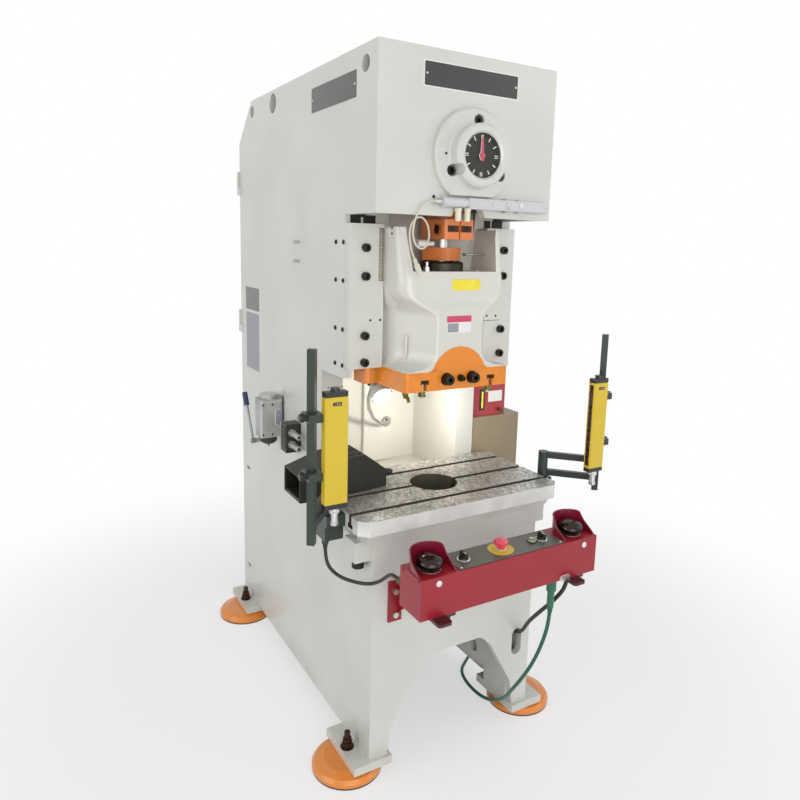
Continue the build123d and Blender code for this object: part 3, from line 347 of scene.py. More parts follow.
bright_steel = metal("bright_steel", colour(198, 198, 194), 0.26)
chrome = metal("chrome", colour(214, 214, 216), 0.12, (30, 30, 30), 0.05, 0.00001)
dark_chrome = metal("dark_chrome", colour(62, 55, 52), 0.08, (30, 30, 30), 0.04, 0.00001)
satin_alloy = metal("satin_alloy", colour(206, 207, 206), 0.38, (30, 30, 600))
cast_iron = metal("cast_iron", colour(104, 104, 102), 0.55, (160, 160, 160), 0.2, 0.0004)
turned_iron = metal("turned_iron", colour(138, 138, 134), 0.36, (60, 700, 60), 0.14)
oxide = metal("black_oxide", colour(58, 56, 50), 0.38, (80, 80, 80), 0.15, 0.00005)
brown_oxide = metal("brown_oxide", colour(78, 58, 48), 0.5, (90, 90, 90), 0.2, 0.0001)
brass = metal("olive_brass", colour(120, 116, 62), 0.35, (60, 60, 60))
ruler_steel = metal("ruler_steel", colour(150, 146, 134), 0.4, (40, 40, 500))
belt_rubber = moulded("belt_rubber", colour(34, 34, 34), 0.7)
cable_black = moulded("cable_black", colour(34, 38, 34), 0.42)
cable_green = moulded("cable_green", colour(28, 92, 70), 0.4)
cable_beige = moulded("cable_beige", colour(208, 204, 184), 0.4)
white_plastic = moulded("white_plastic", colour(228, 226, 214), 0.34)
plug_beige = moulded("plug_beige", colour(208, 206, 190), 0.34)
black_plastic = moulded("black_plastic", near_black, 0.4)
red_plastic = moulded("stop_red", colour(222, 62, 84), 0.26, 0.00001, 0.4)
green_plastic = moulded("start_green", colour(176, 186, 140), 0.3, 0.00001, 0.3)
dial_black = moulded("dial_black", colour(22, 26, 20), 0.5, 0.00001, 0.1)
mark_white = moulded("mark_white", colour(232, 232, 226), 0.4, 0.00001)
plate_black = moulded("plate_black", colour(44, 44, 44), 0.3, 0.00002, 0.5)
label_yellow = moulded("label_yellow", colour(238, 220, 56), 0.4, 0.00001)
label_red = moulded("label_red", colour(206, 70, 104), 0.4, 0.00001)
label_white = moulded("label_white", colour(232, 232, 230), 0.4, 0.00001)
label_grey = moulded("label_grey", colour(150, 152, 160), 0.4, 0.00001)

# Air unit: cast alloy body, black bowl under it, black valve block
unit_alloy = metal("air_unit_alloy", colour(188, 190, 188), 0.42, (30, 30, 300), depth=0.00008)
valve_block = unit_alloy.past("Y", 504.9) * unit_alloy.under("Y", 554)
bowl = unit_alloy.under("Z", 850.6) * unit_alloy.past("Y", 640) * unit_alloy.past("X", -369)
dark_part = unit_alloy.maths("MAXIMUM", valve_block, bowl)
unit_alloy.paint(colour(44, 44, 38), dark_part)
unit_alloy.feed("Metallic", 0.75 - 0.75 * dark_part)

# Shut-off lever: plated bar with a blue-black grip beyond 132.9 mm from its pivot
LEVER_LEAN = radians(59)
lever_plated = metal("lever_plated", colour(150, 158, 160), 0.3, (30, 30, 300))
reach = (lever_plated.along("Y") - at(0, 702, 0).y) * cos(LEVER_LEAN)
reach = reach + (lever_plated.along("Z") - at(0, 0, 838).z) * sin(LEVER_LEAN)
grip = reach > 0.1329
lever_plated.paint(colour(30, 44, 82), grip)
lever_plated.feed("Metallic", 1.0 - grip)

# Head duct: grey-white paint, with white plastic capsules hanging from it
duct_paint = enamel("duct_paint", colour(208, 207, 210), roughness=0.35, clear=0.25, wear=0.5)
duct_paint.paint(colour(226, 220, 194), duct_paint.under("Z", 1638.6))

lens_dark = Finish("lens_dark", roughness=0.08, coat_weight=0.6)
rows = lens_dark.maths("SINE", lens_dark.along("Z") * (2 * pi / 0.02))
lens_dark.feed("Base Color", lens_dark.blend(colour(26, 12, 14), colour(92, 22, 26), lens_dark.ramp(rows, 0.5, 0.95)))
lens_dark.bump(lens_dark.ramp(rows, 0.2, 0.9), 0.0004)

glow = Finish("lamp_glow", roughness=0.5, emission_color=(1.0, 0.99, 0.96, 1.0), emission_strength=14.0)
glow.feed("Base Color", glow.blend(colour(250, 250, 246), colour(240, 240, 236), glow.noise(90.0, 2.0)))


def curtain_finish(name, z0, z1):
    """Yellow extruded case with black end caps and bright connector ends."""
    finish = enamel(name, yellow, roughness=0.36, clear=0.2, wear=0.3)
    end = finish.under("Z", z0 - 0.3)
    finish.paint(near_black, 1 - finish.past("Z", z0 + 13.2) * finish.under("Z", z1 - 13.2))
    finish.paint(colour(206, 206, 204), end)
    finish.feed("Metallic", 1.0 * end)
    return finish


def coat(finish, names):
    for name in names.split():
        for holder in nodes[name].material_slots:
            holder.material = finish.material


for side, (z0, z1) in CURTAINS.items():
    coat(curtain_finish(side + "_curtain_yellow", z0, z1), "curtain_" + side)
for finish, names in (
        (frame_enamel, "side_plate_left side_plate_right head_front_plate top_plate rear_plate throat_back_plate "
                       "bed_plate lower_front_plate dial_cover rear_door"),
        (gib_enamel, "gibs"), (pad_enamel, "floor_pads"), (brown_oxide, "anchor_studs"), (scraped, "bolster"),
        (oxide, "bolster_bolts frame_screws ball_retainer slide_nuts"), (duct_paint, "head_duct"),
        (unit_alloy, "air_unit"), (cast_iron, "crank_bearings"), (bright_steel, "crankshaft adjusting_screw"),
        (pointer_enamel, "dial_pointer"), (turned_iron, "flywheel motor_pulley"), (motor_enamel, "drive_motor"),
        (belt_rubber, "drive_belt"), (rod_enamel, "con_rod rod_collar"), (slide_enamel, "slide_body"),
        (orange_enamel, "slide_cap"), (red_enamel, "console_box"), (bracket_enamel, "console_arms"),
        (panel_finish, "console_panel"), (hood_enamel, "palm_hoods"),
        (dark_chrome, "palm_button_left palm_button_right"), (red_plastic, "stop_button"),
        (green_plastic, "start_button"), (black_plastic, "selector_left selector_right"),
        (arm_enamel, "curtain_arm_left curtain_arm_right curtain_brackets"), (black_cast, "foot_switch foot_pedal"),
        (chrome, "lamp_neck"), (lamp_enamel, "lamp_head"), (lever_plated, "air_lever"),
        (cabinet_enamel, "cabinet_box cabinet_door"), (tank_enamel, "lubricator"), (plug_beige, "sensor_plug")):
    coat(finish, names)


# Shapes, each a bmesh in press millimetres
def outward(shape):
    bmesh.ops.recalc_face_normals(shape, faces=shape.faces)
    return shape


def stand(shape, place=(0, 0, 0), axis=(0, 0, 1), turn=0.0):
    """Turns a shape made along +Z to an axis and sets it at its place."""
    spin = Matrix.Rotation(turn, 4, "Z")
    tilt = Vector((0, 0, 1)).rotation_difference(Vector(axis)).to_matrix().to_4x4()
    bmesh.ops.transform(shape, matrix=Matrix.Translation(place) @ tilt @ spin, verts=shape.verts)
    return shape


def rounded(shape, edges, radius, steps=2):
    bmesh.ops.bevel(shape, geom=edges, offset=radius, offset_type="OFFSET", affect="EDGES",
                    segments=steps, profile=0.5, material=-1, clamp_overlap=True)
    return shape


def block(x0, x1, y0, y1, z0, z1, radius=0.0, steps=2):
    shape = bmesh.new()
    bmesh.ops.create_cube(shape, size=1.0)
    bmesh.ops.scale(shape, vec=(x1 - x0, y1 - y0, z1 - z0), verts=shape.verts)
    bmesh.ops.translate(shape, vec=((x0 + x1) / 2, (y0 + y1) / 2, (z0 + z1) / 2), verts=shape.verts)
    return rounded(shape, shape.edges[:], radius, steps) if radius else shape


def plate(wide, high, thick, corner, place, axis, turn=0.0, edge=0.3):
    """A flat plate with round corners, its back at its place."""
    shape = block(-wide / 2, wide / 2, -high / 2, high / 2, 0, thick)
    if corner:
        upright = [e for e in shape.edges if abs(e.verts[0].co.z - e.verts[1].co.z) > thick / 2]
        rounded(shape, upright, corner, 4)
    rim = [e for e in shape.edges if all(v.co.z > thick / 2 for v in e.verts)]
    return stand(rounded(shape, rim, edge, 1), place, axis, turn)


def turned(profile, place=(0, 0, 0), axis=(0, 0, 1), steps=36):
    """Spins a profile of (radius, height) points round +Z, then stands it."""
    shape = bmesh.new()
    verts = [shape.verts.new((r, 0, z)) for r, z in profile]
    edges = [shape.edges.new(pair) for pair in zip(verts, verts[1:])]
    bmesh.ops.spin(shape, geom=verts + edges, cent=(0, 0, 0), axis=(0, 0, 1), angle=2 * pi,
                   steps=steps, use_merge=True)
    bmesh.ops.remove_doubles(shape, verts=shape.verts, dist=0.0005)
    return stand(outward(shape), place, axis)


def solid(profile, place=(0, 0, 0), axis=(0, 0, 1), steps=36):
    """A turned piece that is closed to its axis at both ends."""
    return turned([(0, profile[0][1]), *profile, (0, profile[-1][1])], place, axis, steps)


def ring(inner, outer, high, place, axis, steps=36):
    return turned([(inner, 0), (outer, 0), (outer, high), (inner, high)], place, axis, steps)


def reshape(shape, radius, height_low, outline):
    """Moves the ring of points at a radius onto an outline given by angle."""
    for v in shape.verts:
        if abs(hypot(v.co.x, v.co.y) - radius) < 0.01 and v.co.z > height_low:
            angle = atan2(v.co.y, v.co.x)
            reach = outline(angle)
            v.co.x, v.co.y = reach * cos(angle), reach * sin(angle)
    return shape


def hexagon(flat):
    return lambda angle: flat / 2 / cos((angle % (pi / 3)) - pi / 6)


def cross(reach, half):
    def outline(angle):
        c, s = max(abs(cos(angle)), 1e-6), max(abs(sin(angle)), 1e-6)
        return max(min(reach / c, half / s), min(reach / s, half / c))
    return outline


def socket_head(radius, high, flat, place, axis, turn=0.0):
    """A cap screw's head with its hexagon socket."""
    inner = flat / 2
    shape = turned([(radius, 0), (radius, high * 0.85), (radius * 0.92, high), (inner, high),
                    (inner, high * 0.45), (0, high * 0.45)])
    return stand(reshape(shape, inner, high * 0.3, hexagon(flat)), place, axis, turn)


def pan_head(radius, high, place, axis, turn=0.4):
    """A pan-head screw with its cross recess."""
    inner = radius * 0.5
    shape = turned([(radius, 0), (radius * 0.98, high * 0.35), (radius * 0.8, high * 0.8), (inner, high),
                    (inner * 0.999, high * 0.5), (0, high * 0.35)], steps=32)
    recess = cross(radius * 0.55, radius * 0.14)
    return stand(reshape(shape, inner, high * 0.4, recess), place, axis, turn)


def hex_head(flat, high, place, axis, turn=0.0, washer=0.0):
    """A hexagon head or nut with a chamfered top, on a washer if it has one."""
    shape = bmesh.new()
    corner = flat / 2 / cos(pi / 6)
    bmesh.ops.create_cone(shape, cap_ends=True, segments=6, radius1=corner, radius2=corner, depth=high)
    bmesh.ops.translate(shape, vec=(0, 0, high / 2 + washer), verts=shape.verts)
    rim = [e for e in shape.edges if all(v.co.z > high * 0.6 for v in e.verts)]
    rounded(shape, rim, flat * 0.06, 2)
    if washer:
        merge(shape, solid([(flat * 0.62, 0), (flat * 0.62, washer)], (0, 0, 0), UP, 32))
    return stand(shape, place, axis, turn)


def as_mesh(shape, name):
    mesh = bpy.data.meshes.new(name)
    shape.to_mesh(mesh)
    shape.free()
    return mesh


def merge(shape, other):
    patch = as_mesh(other, "patch")
    shape.from_mesh(patch)
    bpy.data.meshes.remove(patch)
    return shape


def drawn_line(name, points, radius, order, between, around):
    """A curve of round section along points, its ends closed."""
    line = bpy.data.curves.new(name, "CURVE")
    line.dimensions = "3D"
    spline = line.splines.new("NURBS" if order > 2 else "POLY")
    spline.points.add(len(points) - 1)
    for point, place in zip(spline.points, points):
        point.co = (*place, 1.0)
    if order > 2:
        spline.order_u = order
        spline.use_endpoint_u = True
    line.resolution_u = between
    line.bevel_depth = radius
    line.bevel_resolution = around
    line.use_fill_caps = True
    return shown(name, line)


def bent(points, radius, order=3):
    """A round bar or wire along points: smooth, or with corners at order 2."""
    holder = drawn_line("bent", points, radius, order, 8, 4)
    line = holder.data
    patch = bpy.data.meshes.new_from_object(holder.evaluated_get(bpy.context.evaluated_depsgraph_get()))
    shape = bmesh.new()
    shape.from_mesh(patch)
    bmesh.ops.remove_doubles(shape, verts=shape.verts, dist=0.0005)
    bpy.data.objects.remove(holder)
    bpy.data.curves.remove(line)
    bpy.data.meshes.remove(patch)
    return outward(shape)


def sheet(points, thick, place=(0, 0, 0), axis=(0, 0, 1), turn=0.0):
    """A flat piece with an outline in X and Y."""
    shape = bmesh.new()
    face = shape.faces.new([shape.verts.new((x, y, 0)) for x, y in points])
    raised = bmesh.ops.extrude_face_region(shape, geom=[face])["geom"]
    bmesh.ops.translate(shape, vec=(0, 0, thick), verts=[g for g in raised if isinstance(g, bmesh.types.BMVert)])
    return stand(outward(shape), place, axis, turn)


def weld(start, end, radius, pitch=7.0):
    """A fillet weld bead with its ripples, between two points."""
    start, end = Vector(start), Vector(end)
    run = (end - start).length
    count = max(4, int(run / pitch) * 4)
    shape = bmesh.new()
    bmesh.ops.create_cone(shape, cap_ends=True, segments=10, radius1=radius, radius2=radius, depth=run)
    sides = [e for e in shape.edges if abs(e.verts[0].co.z - e.verts[1].co.z) > run / 2]
    bmesh.ops.subdivide_edges(shape, edges=sides, cuts=count, use_grid_fill=True)
    for v in shape.verts:
        ripple = 1 + 0.10 * cos(2 * pi * v.co.z / pitch) + 0.05 * sin(1.7 * v.co.z / pitch)
        v.co.x *= ripple
        v.co.y *= ripple
    return stand(shape, (start + end) / 2, end - start)


def knob(radius, high, lobes, place, axis):
    """A lobed clamping knob."""
    shape = turned([(0, 0), (radius * 0.5, 0), (radius * 0.55, high * 0.35), (radius * 0.95, high * 0.4),
                    (radius, high * 0.55), (radius, high * 0.85), (radius * 0.9, high), (0, high * 1.04)],
                   steps=lobes * 8)
    for v in shape.verts:
        far = hypot(v.co.x, v.co.y)
        if far > radius * 0.7:
            dip = 1 - 0.14 * (0.5 - 0.5 * cos(lobes * atan2(v.co.y, v.co.x)))
            v.co.x *= dip
            v.co.y *= dip
    return stand(shape, place, axis)


NEARLY_STRAIGHT = 1.5


def filleted(corners, steps=5):
    """The points of a closed outline in plan, from corners given as (x, y, radius)."""
    points = []
    for k, (x, y, radius) in enumerate(corners):
        here = Vector((x, y, 0))
        back = (Vector((*corners[k - 1][:2], 0)) - here).normalized()
        ahead = (Vector((*corners[(k + 1) % len(corners)][:2], 0)) - here).normalized()
        half = back.angle(ahead) / 2
        if half > NEARLY_STRAIGHT:
            points += [here + ahead * radius * (i / steps - 0.5) for i in range(steps + 1)]
            continue
        middle = here + (back + ahead).normalized() * radius / sin(half)
        first = here + back * radius / tan(half) - middle
        last = here + ahead * radius / tan(half) - middle
        points += [middle + first.slerp(last, i / steps).normalized() * radius for i in range(steps + 1)]
    return points


def lofted(levels):
    """A casting drawn up through plan outlines, each given as (height, corners)."""
    shape = bmesh.new()
    height, corners = levels[0]
    ring = [shape.verts.new((p.x, p.y, height)) for p in filleted(corners)]
    edges = [shape.edges.new(pair) for pair in zip(ring, ring[1:] + ring[:1])]
    bmesh.ops.contextual_create(shape, geom=edges)
    for height, corners in levels[1:]:
        bmesh.ops.extrude_edge_only(shape, edges=edges)
        neighbours = [[edge.other_vert(v) for edge in v.link_edges] for v in ring]
        ring = [next(w for w in near if w.co == v.co) for v, near in zip(ring, neighbours)]
        for v, place in zip(ring, filleted(corners)):
            v.co = (place.x, place.y, height)
        edges = [shape.edges.get(pair) for pair in zip(ring, ring[1:] + ring[:1])]
    bmesh.ops.contextual_create(shape, geom=edges)
    return outward(shape)


def copied(name, *cuts):
    """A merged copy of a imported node, cut back to the inner side of each (place, normal) plane."""
    bpy.context.view_layer.update()
    holder = nodes[name]
    shape = bmesh.new()
    shape.from_mesh(holder.data)
    bmesh.ops.transform(shape, matrix=press.inverted() @ holder.matrix_world, verts=shape.verts)
    bmesh.ops.remove_doubles(shape, verts=shape.verts, dist=0.002)
    for place, normal in cuts:
        cut = bmesh.ops.bisect_plane(shape, geom=shape.verts[:] + shape.edges[:] + shape.faces[:], plane_co=place,
                                     plane_no=normal, clear_outer=True)
        rim = [g for g in cut["geom_cut"] if isinstance(g, bmesh.types.BMEdge)]
        bmesh.ops.triangle_fill(shape, use_beauty=True, use_dissolve=False, edges=rim)
    bmesh.ops.dissolve_limit(shape, angle_limit=0.01, verts=shape.verts, edges=shape.edges)
    return outward(shape)


def fit(name, body, slot, *parts, smooth=38.0):
    """Joins shapes, each with its finish, into one piece that rides on a body; the slot is not used."""
    whole = bmesh.new()
    finishes = []
    for shape, finish in parts:
        if finish not in finishes:
            finishes.append(finish)
        for face in shape.faces:
            face.material_index = finishes.index(finish)
            face.smooth = True
        merge(whole, shape)
    bmesh.ops.transform(whole, matrix=press, verts=whole.verts)
    mesh = as_mesh(whole, name)
    for finish in finishes:
        mesh.materials.append(finish.material)
    mesh.set_sharp_from_angle(angle=radians(smooth))
    piece = shown(name, mesh)
    even = piece.modifiers.new("even_shading", "WEIGHTED_NORMAL")
    even.keep_sharp = True
    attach(piece, body)
    return piece


# Cables: the route points of the source, on one smooth line each
def lay_cable(name, finish, points, diameter):
    cable = drawn_line(name, [at(*point) for point in points], diameter / 2000, 3, 14, 6)
    cable.data.materials.append(finish.material)
    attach(cable, "frame")
    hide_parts(name.replace("_line", ""))


curtain_route = [
    (-386, 92, 700), (-386, 92, 662), (-381, 76, 630), (-358, 47, 609), (-330, 6, 606), (-308, -36, 615),
    (-293, -66, 634), (-288, -92, 659), (-288, -122, 680), (-288, -160, 680)]
console_route = [
    (228, -240, 609), (228, -240, 574), (206, -220, 528), (195, -170, 466), (207, -110, 400), (236, -52, 328),
    (251, -10, 300), (252.5, 40, 284), (252, 92, 274), (252.5, 140, 270), (252.5, 186, 270)]
supply_route = [
    (182, -226, 515), (182, -226, 465), (168, -216, 392), (160, -190, 318), (156, -150, 245), (164, -98, 172),
    (190, -38, 100), (206, 22, 46), (209, 76, 16), (206, 130, 7), (210, 200, 6.5), (232, 262, 7),
    (282, 300, 6), (326, 322, 22), (345, 340, 72), (347, 352, 150), (352, 358, 250), (346, 366, 350),
    (352, 374, 450), (350, 385, 545), (350, 385, 622)]
sensor_route = [
    (-122, -15, 1655), (-146, -15, 1655), (-169, -13, 1632), (-184, -12, 1598), (-188, -12, 1562),
    (-173, -11, 1532), (-148, -10, 1527), (-132, -9, 1556), (-136, -7, 1592), (-156, -5, 1615),
    (-181, -5, 1606), (-194, -6, 1578), (-192, -7, 1546), (-186, -8, 1520), (-178, -8, 1503)]
lay_cable("curtain_cable_line", cable_black, curtain_route, 10)
lay_cable("console_cable_line", cable_black, console_route, 12)
lay_cable("supply_cable_line", cable_green, supply_route, 11)
lay_cable("sensor_lead_line", cable_beige, sensor_route, 5)

# Pale floor that fades to the white backdrop, soft lamps, even sky
WHITE = (1.0, 1.0, 1.0, 1.0)
floor_finish = Finish("studio_floor", roughness=0.7)
floor_finish.feed("Base Color", (0.86, 0.86, 0.86, 1.0))
from_middle = floor_finish.node("ShaderNodeVectorMath", {"operation": "LENGTH"}, {0: floor_finish.place}, "Value")
backdrop = floor_finish.node("ShaderNodeEmission", {}, {"Color": WHITE, "Strength": 1.0})
faded = floor_finish.node("ShaderNodeMixShader", {}, {
    0: floor_finish.seen() * floor_finish.ramp(from_middle, 0.9, 2.4, 0.55, 1.0),
    1: Amount(floor_finish, floor_finish.shader.outputs[0]), 2: backdrop})
floor_finish.join(faded, floor_finish.tree.nodes["Material Output"].inputs["Surface"])
ground = bmesh.new()
bmesh.ops.create_circle(ground, cap_ends=True, segments=64, radius=14.0)
bmesh.ops.translate(ground, vec=(0, 0, -0.0005), verts=ground.verts)
floor = shown("studio_floor", as_mesh(ground, "studio_floor"))
floor.data.materials.append(floor_finish.material)


def soft_lamp(name, place, aim, wide, high, power):
    light = bpy.data.lights.new(name, "AREA")
    light.shape = "RECTANGLE"
    light.size, light.size_y = wide, high
    light.energy = power
    lamp = shown(name, light)
    lamp.location = place
    lamp.rotation_mode = "QUATERNION"
    lamp.rotation_quaternion = (Vector(aim) - Vector(place)).to_track_quat("-Z", "Y")
    return lamp


soft_lamp("front_lamp", (-1.0, -4.2, 1.5), (0, 0, 0.8), 3.0, 2.4, 58)
soft_lamp("left_lamp", (-4.4, -0.6, 2.4), (0, 0, 1.0), 2.6, 2.4, 36)
soft_lamp("right_lamp", (3.6, -2.4, 2.8), (0, 0, 1.1), 2.4, 2.4, 26)
throat_place = at(30, 235, 1000)
throat_light = soft_lamp("throat_light", throat_place, throat_place + Vector((0.35, 1, -0.15)), 0.05, 0.05, 1.4)
throat_light.data.shape = "DISK"
throat_light.data.color = (1.0, 0.93, 0.82)
throat_light.visible_camera = False

world = bpy.data.worlds.new("studio_sky")
bpy.context.scene.world = world
world.use_nodes = True
sky = Shading(world.node_tree)
soft_sky = sky.tree.nodes["Background"]
sky.join(WHITE, soft_sky.inputs["Color"])
sky.join(0.57, soft_sky.inputs["Strength"])
shown_sky = sky.node("ShaderNodeMixShader", {}, {
    0: sky.seen(), 1: Amount(sky, soft_sky.outputs[0]),
    2: sky.node("ShaderNodeBackground", {}, {"Color": WHITE, "Strength": 1.0})})
sky.join(shown_sky, sky.tree.nodes["World Output"].inputs["Surface"])

# Bare name plates and blank labels on the frame
fit("head_name_plate", "frame", "frame_cream",
    (plate(313, 67, 1.0, 5, (-3.5, 0, 1978.5), FRONT), mark_white),
    (plate(306, 60, 1.6, 3, (-3.5, 0, 1978.5), FRONT), plate_black),
    *[(pan_head(3.4, 1.6, (-3.5 + x, -1.4, 1978.5), FRONT), bright_steel) for x in (-146, 146)])
fit("side_name_plate", "frame", "frame_cream",
    (plate(300, 70, 1.2, 2, (-SIDE_FACE, 270, 1955), LEFT, QUARTER), plate_black),
    *[(pan_head(3.4, 1.6, (-SIDE_FACE - 1.1, 270 + y, 1955), LEFT), bright_steel) for y in (-142, 142)])
fit("side_labels", "frame", "frame_cream",
    (plate(156, 87, 1.0, 2, (-SIDE_FACE, 1006, 1313), LEFT, QUARTER), plate_black),
    (plate(150, 222, 1.0, 2, (-SIDE_FACE, 1005, 1147), LEFT, QUARTER), label_grey))
side_screws = [(y, z) for z in (1541, 1433, 1293, 1188) for y in (187, 237)]
fit("side_plate_screws", "frame", "black_oxide",
    *[(socket_head(6.5, 3.0, 6.0, (-SIDE_FACE, y, z), LEFT), oxide) for y, z in side_screws],
    *[(turned([(0, 22), (4.4, 22), (5, 21), (5, 0)], (-SIDE_FACE, 524, z), LEFT, 24), bright_steel)
      for z in (1537, 1476)])

# Dial: black face with double marks at the quarters, steel ring, needle rim
dial_marks = []
for k in range(12):
    middles, half = ((-2.6, 2.6), 1.1) if k % 3 == 0 else ((0.0,), 1.5)
    for middle in middles:
        mark = block(middle - half, middle + half, 43, 54.5, 0, 0.5, 0.15, 1)
        dial_marks.append((stand(mark, (0, DIAL_FACE - 0.9, CRANK_Z), FRONT, -k * pi / 6), mark_white))
fit("dial_face", "frame", "frame_cream",
    (turned([(7, 0), (58.6, 0), (58.6, 0.8), (58, 1.0), (7, 1.0)], (0, DIAL_FACE, CRANK_Z), FRONT, 72), dial_black),
    (turned([(58.4, 0.8), (58.4, 8.3), (62.5, 12.4), (63.4, 12.6), (63.4, 11.6), (59.4, 7.6), (59.4, 0.8), (58.4, 0.8)],
            (0, DIAL_FACE, CRANK_Z), FRONT, 72), satin_alloy), *dial_marks)
fit("dial_needle_rim", "crank", "pointer_red",
    (sheet([(-6.4, -12), (6.4, -12), (4.0, 44), (0, 52.5), (-4.0, 44)], 0.8, (0, DIAL_FACE - 2.1, CRANK_Z), FRONT),
     mark_white),
    (solid([(9.5, 0), (9.5, 0.8), (8.8, 1.2)], (0, DIAL_FACE - 2.1, CRANK_Z), FRONT), mark_white),
    (turned([(0, 0), (5.0, 0), (5.0, 1.1), (3.6, 1.9), (0, 2.1)], (0, DIAL_FACE - 6.4, CRANK_Z), FRONT),
     pointer_enamel))
fit("dial_cover_screw", "frame", "black_oxide", (pan_head(3.6, 2.2, (-96, -21, 1780), FRONT), oxide))

# Head duct: box section, conduit with its lock nut, two saddles, two hanging plugs; it replaces the plain duct
conduit = fit("head_conduit", "frame", "aluminium",
    (block(-18, 268, -29, 0, 1639, 1668, 1.2), duct_paint),
    (block(-14, 266, -30, -28.5, 1644, 1662, 0.6), duct_paint),
    (solid([(12.6, 0), (13.4, 1.4), (13.4, 70), (12.6, 72), (12.6, 80)], (-96, -14.6, 1655), RIGHT, 36), duct_paint),
    (hex_head(27, 9, (-100, -14.6, 1655), RIGHT, 0.3), duct_paint),
    (solid([(7, 0), (7.6, 1), (7.6, 26)], (-122, -15, 1655), RIGHT, 28), satin_alloy),
    (pan_head(4.2, 2.6, (-118, -1.0, 1668), FRONT), oxide),
    *[(solid([(18.4, 0), (19.4, 1.2), (19.4, 10.8), (18.4, 12)], (x, -13.4, 1653.5), RIGHT, 40), satin_alloy)
      for x in (108, 156)],
    *[(turned([(0, 0), (6.0, 0.8), (8.4, 4.0), (8.6, 28), (10.4, 30), (10.4, 37), (0, 37)], (x, -15, 1604), UP, 32),
       duct_paint) for x in (-46, -16)],
    *[(pan_head(3.2, 1.8, (x, -30, 1653), FRONT), satin_alloy) for x in (10, 60, 210, 252)])
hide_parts("head_duct")

# Dark plates painted as the shade in the gaps over the gibs, under the head, with a strip of gib paint in each
# Painted shade: black plates on the column face stand for the shaded gaps
gap_shade_plates = [(block(x0, x1, 181.4, 182.4, 1595, 1617.6, 0.2, 1), oxide) for x0, x1 in ((-276, -196), (190, 262))]
gap_shade_plates += [(block(x0, x1, 180.6, 181.6, z0, z1, 0.3, 1), gib_enamel)
             for x0, x1, z0, z1 in ((-243, -236, 1595, 1612), (214, 219, 1595, 1617))]
fit("gib_gap_shade", "frame", "black_oxide", *gap_shade_plates)

# Gibs: scale, dowel holes, keeper seam
scale_marks = []
for k in range(24):
    x0, x1 = (-195, -191.5) if k % 5 else (-196, -189.5)
    z = 1438 + 6 * k
    scale_marks.append((block(x0, x1, GIB_FACE - 1.8, GIB_FACE - 1.2, z, z + 1.4), mark_white))
fit("stroke_scale", "frame", "frame_cream",
    (plate(15, 150, 1.3, 1, (-191, GIB_FACE, 1508), FRONT), ruler_steel), *scale_marks)
dowels = [(-223, 1321), (-191, 1321), (194, 1321), (229, 1320), (257, 1448)]
fit("gib_dowels", "frame", "black_oxide",
    *[(turned([(0, 0.2), (2.2, 0.3), (2.6, 0.9), (3.4, 0.9), (3.6, 0)], (x, GIB_FACE, z), FRONT, 20), oxide)
      for x, z in dowels],
    (block(178, 243, 151.5, 152.3, 1305, 1306.4), oxide))

# Slide casting: ground band and wings, sloped flanks under a rounded box with its window
def slide_plan(half, side_y, front_half, front_y, soft, root, bend):
    left = [(-half - root, SLIDE_BACK, 0.5), (-half, side_y, bend), (-front_half, front_y, soft)]
    return left + [(-x, y, r) for x, y, r in reversed(left)]


def between(z, share, start, end):
    """One level of the casting, part of the way from one outline to the next."""
    return (z, slide_plan(*[a + (b - a) * share for a, b in zip(start, end)]))


ground_band = (SLIDE_HALF + 0.5, 110, SLIDE_HALF + 0.5, CASTING_FRONT, 14, 0, 6)
lower_body = (151, 132, 79, CASTING_FRONT, 14, 22, 120)
window_box = (SLIDE_HALF, 133, SLIDE_HALF, 44, 38, 0, 6)
box_top = (SLIDE_HALF, 135, SLIDE_HALF, 50.1, 36, 0, 6)
slide_front = lofted(
    [between(1178.6, 0, ground_band, ground_band)]
    + [between(z, share, ground_band, lower_body) for z, share in (
        (1184.6, 0), (1186.5, 0.2), (1190, 0.42), (1195, 0.62), (1202, 0.79), (1212, 0.91), (1225, 0.975), (1240, 1))]
    + [between(z, share, lower_body, window_box) for z, share in (
        (1334, 0), (1343, 0.04), (1352, 0.14), (1361, 0.29), (1370, 0.47), (1379, 0.64), (1388, 0.79), (1398, 0.91),
        (1408, 0.975), (1420, 1))]
    + [between(1440, 0, window_box, box_top), between(WINDOW_FLOOR, 1, window_box, box_top)])
posts = []
for side in (-1, 1):
    levels = []
    for z, inner, front_y in ((1464.9, 144, 50.1), (1526, 150, 65), (1563, 153.6, 74), (1586.9, 155.9, 76)):
        soft = 180 - inner
        outline = [(SLIDE_HALF, SLIDE_BACK, 0.5), (SLIDE_HALF, front_y, soft), (inner, front_y, 0.6),
                   (inner, SLIDE_BACK, 0.5)]
        levels.append((z, [(side * x, y, radius) for x, y, radius in outline]))
    posts.append((lofted(levels), slide_enamel))
band_cut = (0, 0, 1178.9)
casting = fit("slide_casting", "slide", "slide_cream",
    (copied("slide_body", (band_cut, UP)), slide_enamel),
    (copied("slide_body", (band_cut, DOWN), ((0, 181.6, 0), FRONT)), slide_enamel),
    (slide_front, slide_enamel), *posts, smooth=42)
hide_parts("slide_body")
arch_corners = []
for side in (-1, 1):
    turns = [radians(9 * k) for k in range(7)]
    outline = [(side * (107.8 - 22 * sin(a)), 1206.4 - 22 * cos(a)) for a in turns]
    arch_corners.append((sheet(outline + [(side * 70, 1184.0)], 0.8, (0, 17.4, 0), FRONT), orange_enamel))
arch = fit("slide_arch", "slide", "orange_paint",
    (copied("slide_cap", ((0, 16.6, 0), FRONT)), orange_enamel), *arch_corners)
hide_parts("slide_cap")
